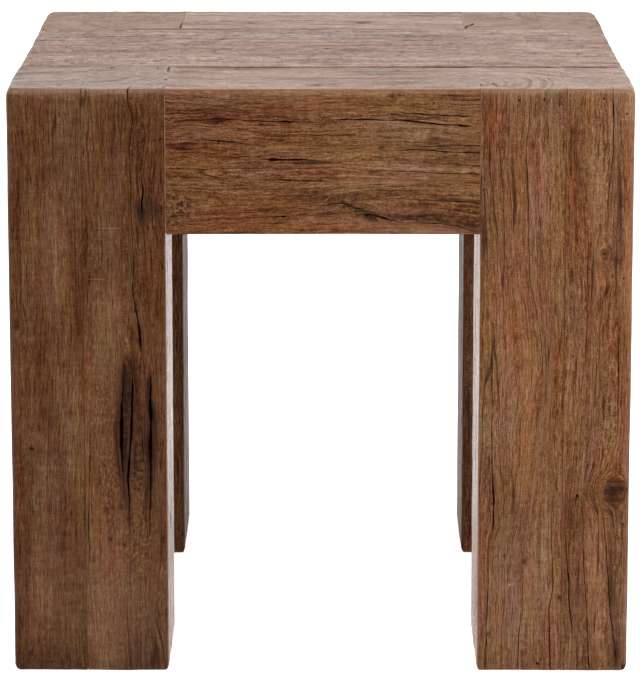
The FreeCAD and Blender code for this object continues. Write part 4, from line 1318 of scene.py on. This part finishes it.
APRON_PITS = [
    (-35, 451.7, 1.3, 1.3), (141.5, 458.4, 1.2, 1.2), (44, 453.4, 1.8, 1.8), (-97, 524.6, 1.6, 1.6),
    (108, 561.5, 1, 1),
]
APRON_STAINS = [
    (-26, 478.6, 10, 2.6, 0.6, 0.35), (-8, 473.4, 10, 2.8, 0.7, 0.5), (8, 468.8, 10, 3.4, 0.75, 0.6),
    (24, 464.6, 10, 4.4, 0.85, 0.7), (36, 457, 8, 5.4, 0.9, 0.8), (50, 452, 10, 4.2, 1, 0.8),
    (70, 450.4, 12, 3.6, 0.95, 0.55), (92, 450.8, 14, 4, 0.9, 0.55), (114, 450, 14, 4.4, 0.9, 0.55),
    (134, 445.6, 12, 5.6, 0.85, 0.5), (149, 441, 10, 7, 0.55, 0.4), (62, 449, 9, 2.2, 0.5, 0),
    (90, 444, 40, 2.2, -0.5, 0), (50, 447, 14, 1.8, -0.6, 0), (30, 450, 12, 3, -0.3, 0),
    (-136, 461, 15, 13, 0.25, 0.8), (-140, 452, 9, 8, 0.5, 0.8), (-142, 474, 8, 6, 0.4, 0.6),
    (-144, 490, 12, 4, 0.2, 0.5), (148, 505, 30, 4, 0.3, 0.3), (110, 518, 44, 9, 0.34, 0),
    (-99, 546, 14, 5, 0.5, 0), (-60, 563, 16, 3, 0.45, 0), (110, 527, 14, 3.6, 0.5, 0),
    (-90, 524, 24, 3, 0.45, 0.15), (-90, 434, 66, 2.6, 0.9, 0), (-20, 487, 26, 2.4, 0.35, 0),
    # The lighter band at 572 mm, under the top arris, is a painted highlight.
    (0, 572, 150, 4, -0.3, 0), (-75, 440, 22, 5, 0.3, 0), (-140, 530, 12, 34, 0.14, 0),
    (20, 508, 40, 5, 0.15, 0),
]
APRON_TINTS = [
    (-60, 566, 90, 8, -0.3, 0, 0.35), (30, 500, 60, 16, 0.2, 0, 0), (-60, 470, 60, 14, 0.2, 0, 0.1),
    (60, 490, 60, 12, 0.15, 0, 0.1), (100, 530, 40, 12, 0, 0.5, 0), (40, 445, 60, 6, 0.25, 0, 0.2),
    (90, 505, 70, 60, 0, 0, 0.3), (90, 450, 70, 4, 0, 0.9, 0), (10, 470, 40, 8, 0, 0.7, 0),
    (90, 456, 70, 5, 0, 0.5, 0), (-100, 536, 40, 10, 0.3, 0, 0.1), (100, 438, 40, 3, 0, 0, 0.5),
    # The pale band at 572.5 mm, under the top arris, is a painted highlight.
    (0, 572.5, 400, 2.6, 0, 0, 1),
]
BOARD_MARKS = {
    "front": {
        "splits": [
            [(-236, -124, 0), (-210, -124.6, 0.7), (-150, -125, 0), (40, -112, 0), (90, -112.6, 0.6),
             (140, -112, 0)],
            [(-120, -98, 0), (-60, -97, 0.6), (10, -97.4, 0), (160, -92, 0), (210, -91, 0.7),
             (262, -92, 0)],
            [(-290, -74, 0.6), (-230, -75, 0.6), (-170, -75, 0), (-20, -70, 0), (60, -69, 0.7),
             (130, -70, 0)],
        ],
        "pits": [
            (-184, -76, 1, 5), (-42, -75, 0.8, 5), (-8, -66, 0.8, 4), (260, -53, 1.6, 1.8),
            (-291, -84, 1.4, 2.5),
        ],
        "stains": [
            (-270, -134, 14, 4, 0.7, 0), (-225, -54, 26, 6, 0.35, 0), (150, -56, 60, 4, 0.3, 0),
            (-284, -130, 14, 3, 0.5, 0),
        ],
        "tints": [
            (-100, -128, 50, 14, 0, 0, 1.2), (200, -70, 120, 22, 0, 0, 0.8), (40, -86, 160, 26, 0.2, 0, 0),
        ],
    },
    "middle": {
        "splits": [
            [(-298, -30, 0.5), (-250, -31, 0.9), (-200, -31, 0), (-90, -26, 0), (-20, -25, 0.7),
             (40, -26, 0)],
            [(-120, -12, 0), (-60, -11, 0.9), (20, -12, 0.8), (60, -12.5, 0), (190, -14, 0),
             (260, -15, 0.6), (298, -15, 0.4)],
            [(-30, 14, 0), (20, 13.5, 0.8), (90, 15, 1), (180, 18, 1), (226, 18.4, 0)],
            [(-260, 38, 0), (-180, 37, 0.7), (-110, 37.4, 0), (60, 42, 0), (130, 41, 0.6), (170, 41, 0)],
        ],
        "pits": [(-261, 1, 1.2, 5), (6, -9, 1.6, 3.5), (-293, -45, 1.4, 1.8), (-102, 57, 2.4, 2.6)],
        "stains": [
            (-220, -34, 60, 8, 0.5, 0), (-30, -10, 70, 9, 0.45, 0), (40, -34, 60, 5, 0.3, 0),
            (130, 17, 60, 4, 0.5, 0), (-60, 44, 90, 7, 0.25, 0),
        ],
        "tints": [
            (213, 18, 13, 30, 0, 0, 1.3), (-30, 52, 120, 5, 0, 0, 1.2), (-60, 20, 150, 22, 0.35, 0, 0),
            (230, -20, 60, 18, 0, 0, 0.7),
        ],
    },
    "back": {
        "splits": [
            [(-190, 118, 0), (-120, 117, 0.8), (-60, 118, 0), (-20, 108, 0), (40, 107, 0.7), (120, 108, 0)],
            [(-280, 92, 0), (-200, 91, 0.8), (-130, 92, 0), (20, 96, 0), (90, 97, 0.9), (190, 97, 0.8),
             (230, 97, 0)],
            [(-120, 74, 0), (-60, 73, 0.7), (0, 74, 0), (90, 76, 0), (160, 75, 0.6), (240, 76, 0)],
        ],
        "pits": [(-244, 79, 1.8, 3.4), (-102, 66, 2, 4), (150, 76, 1, 3)],
        "stains": [
            (-150, 88, 60, 26, 0.35, 0), (110, 96, 90, 8, 0.45, 0), (-40, 120, 40, 10, 0.3, 0),
            (-100, 68, 60, 5, 0.3, 0), (60, 134, 120, 8, 0.2, 0),
        ],
        "tints": [
            (240, 120, 60, 26, 0, 0, 0.8), (-270, 110, 40, 26, 0, 0.3, -0.3),
            (-200, 100, 60, 30, 0.4, 0, -0.3),
        ],
    },
}

# %% Every beam's and board's data
# Dark lines along the top seams of aprons, rails and boards: partly dark joints, partly painted shade of the
# gaps.
BEAM_LINES = [("-y", "+z", WHOLE_LENGTH, SEAM_DARK_AND_SHADE, 0), ("+y", "+z", WHOLE_LENGTH, SEAM_DARK_AND_SHADE, 0)]
OUTER_PITH, INNER_PITH, BOARD_PITH = (80, 120), (60, 120), (50, 90)
BOARD_TONES = {"front": (0, 0, 0.6), "middle": (0.3, 0, 0.15), "back": (0, 0.15, 0.35)}
RAIL_BORE_RADIUS = 6 * MM
RAIL_BORE_TOP = 489.5 * MM
RAIL_SCREWS_X = 260 * MM
RAIL_SCREWS_Y = (-81.05 * MM, 6 * MM, 87.05 * MM)


# Aprons and rails get the painted sheen on their tops unless another tone is given.
def beam(grain, hidden, edges, pith, wood=apron_wood, slot="apron_wood", tone=TOP_PAINTED_SHEEN["front"], **marks):
    """The data of one timber between the legs."""
    data = {kind: [] for kind in ("knots", "pits", "stains", "tints", "scratches")}
    return data | {
        "grain": grain, "hidden": hidden, "covered": {side: WHOLE_LENGTH for side in hidden}, "edges": edges,
        "pith": pith, "wood": wood, "slot": slot, "edge_lines": BEAM_LINES, "side_tones": {"+z": tone},
        "splits": {}, **marks,
    }


for end_name, end, inward in (("front", "-", "+"), ("back", "+", "-")):
    timbers[f"{end_name}_apron_outer_lamination"] = beam(
        0, ["-x", "+x", inward + "y"], {end + "y+z": TOP_WEAR, end + "y-z": UNDER_WEAR}, OUTER_PITH)
    seam = FRONT_SEAM if end_name == "front" else SEAM_OPENING
    timbers[f"{end_name}_apron_inner_lamination"] = beam(
        0, ["-x", "+x", end + "y"], {inward + "y-z": UNDER_WEAR, inward + "y+z": seam}, INNER_PITH)
timbers["front_apron_outer_lamination"].update(
    splits={"-y": APRON_SPLITS}, knots=on_side("-y", APRON_KNOTS), pits=on_side("-y", APRON_PITS),
    stains=on_side("-y", APRON_STAINS), tints=on_side("-y", APRON_TINTS),
)
for side_name, sign in (("left", -1), ("right", 1)):
    timbers[f"{side_name}_side_rail"] = beam(
        1, ["-y", "+y", "+z"], {"-x-z": UNDER_WEAR, "+x-z": UNDER_WEAR}, INNER_PITH,
        bores=[(sign * RAIL_SCREWS_X, y) for y in RAIL_SCREWS_Y])
for board_name, marks in BOARD_MARKS.items():
    edges = {
        "-x+z": BOARD_END_WEAR, "+x+z": BOARD_END_WEAR, "-y+z": SEAM_OPENING,
        "+y+z": BACK_SEAM if board_name == "back" else SEAM_OPENING,
    }
    timbers[f"{board_name}_top_board"] = beam(
        0, ["-y", "+y"], edges, BOARD_PITH, board_wood, "board_wood", BOARD_TONES[board_name],
        splits={"+z": marks["splits"]},
        **{kind: on_side("+z", marks[kind]) for kind in ("pits", "stains", "tints")})

# %% Make every timber
FIRST_SEED = 20
MARKS_SEED_STEP = 5000

triangles = 0
for seed, (name, timber) in enumerate(timbers.items(), FIRST_SEED):
    timber["seed"] = seed
    low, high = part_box(name)
    blank, counts = timber_blank(f"aged_{name}", low, high, timber["grain"], timber["hidden"])
    for facing, end in np.ndindex(3, 2):
        side = side_at(facing, end)
        if facing == timber["grain"] or side in timber["hidden"] or side in timber["splits"]:
            continue
        marks_seed = side_seed(timber, facing, end) + MARKS_SEED_STEP
        for kind, more in chance_marks(side, low, high, timber["grain"], marks_seed).items():
            timber[kind] = timber[kind] + more
    if "bores" in timber:
        drill(blank, timber["bores"], RAIL_BORE_RADIUS, low[2], RAIL_BORE_TOP)
    age_timber(blank, counts, low, high, timber)
    blank.data.materials.clear()
    blank.data.materials.append(timber["wood"])
    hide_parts(name)
    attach(blank, "root")
    triangles += sum(len(face.vertices) - 2 for face in blank.data.polygons)
print(len(timbers), "timbers,", triangles, "triangles")

# %% [markdown]
# ## Hidden joinery and screws
#
# Tenons, tongues, cleats, the batten and the screws keep their CAD meshes, which already
# have the right shape. They only need their own finish.

# %% Bare wood and zinc steel
def strip_finish(name):
    """Plain planed wood for what is inside: soft streaks on object coordinates."""
    finish = Finish(name)
    place = finish.node("ShaderNodeTexCoord", {}).outputs["Object"]
    streak = finish.noise(place, (26, 240, 240), detail=3, roughness=0.6)
    cloud = finish.noise(place, (9, 14, 14), detail=2)
    pore = finish.ramp(finish.noise(place, (90, 700, 700), detail=1), 0.6, 0.74)
    value = finish.sum(finish.swing(0.5, (streak, 0.9), (cloud, 0.6)), (pore, -0.2))
    stops = [(0.1, (96, 68, 46)), (0.5, (150, 114, 80)), (0.9, (186, 150, 112))]
    finish.drive("Base Color", finish.palette(value, stops))
    finish.raise_bumps(finish.sum(0.0, (streak, 0.6), (pore, -0.5)), 0.5, 0.6 * MM)
    finish.drive("Roughness", 0.6)
    return finish.material


def steel_finish(name):
    """Zinc-plated steel with a faint spangle."""
    finish = Finish(name)
    place = finish.node("ShaderNodeTexCoord", {}).outputs["Object"]
    spangle = finish.noise(place, (900, 900, 900), detail=2)
    stops = [(0.3, (128, 130, 132)), (0.7, (182, 184, 184))]
    finish.drive("Base Color", finish.palette(spangle, stops))
    finish.drive("Roughness", finish.ramp(spangle, 0.2, 0.8, 0.28, 0.46))
    finish.drive("Metallic", 1.0)
    return finish.material


inner_wood = strip_finish("inner_wood")
screw_steel = steel_finish("screw_steel")
for name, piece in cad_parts.items():
    if name not in timbers:
        piece.data.materials.clear()
        piece.data.materials.append(screw_steel if name.endswith("screws") else inner_wood)
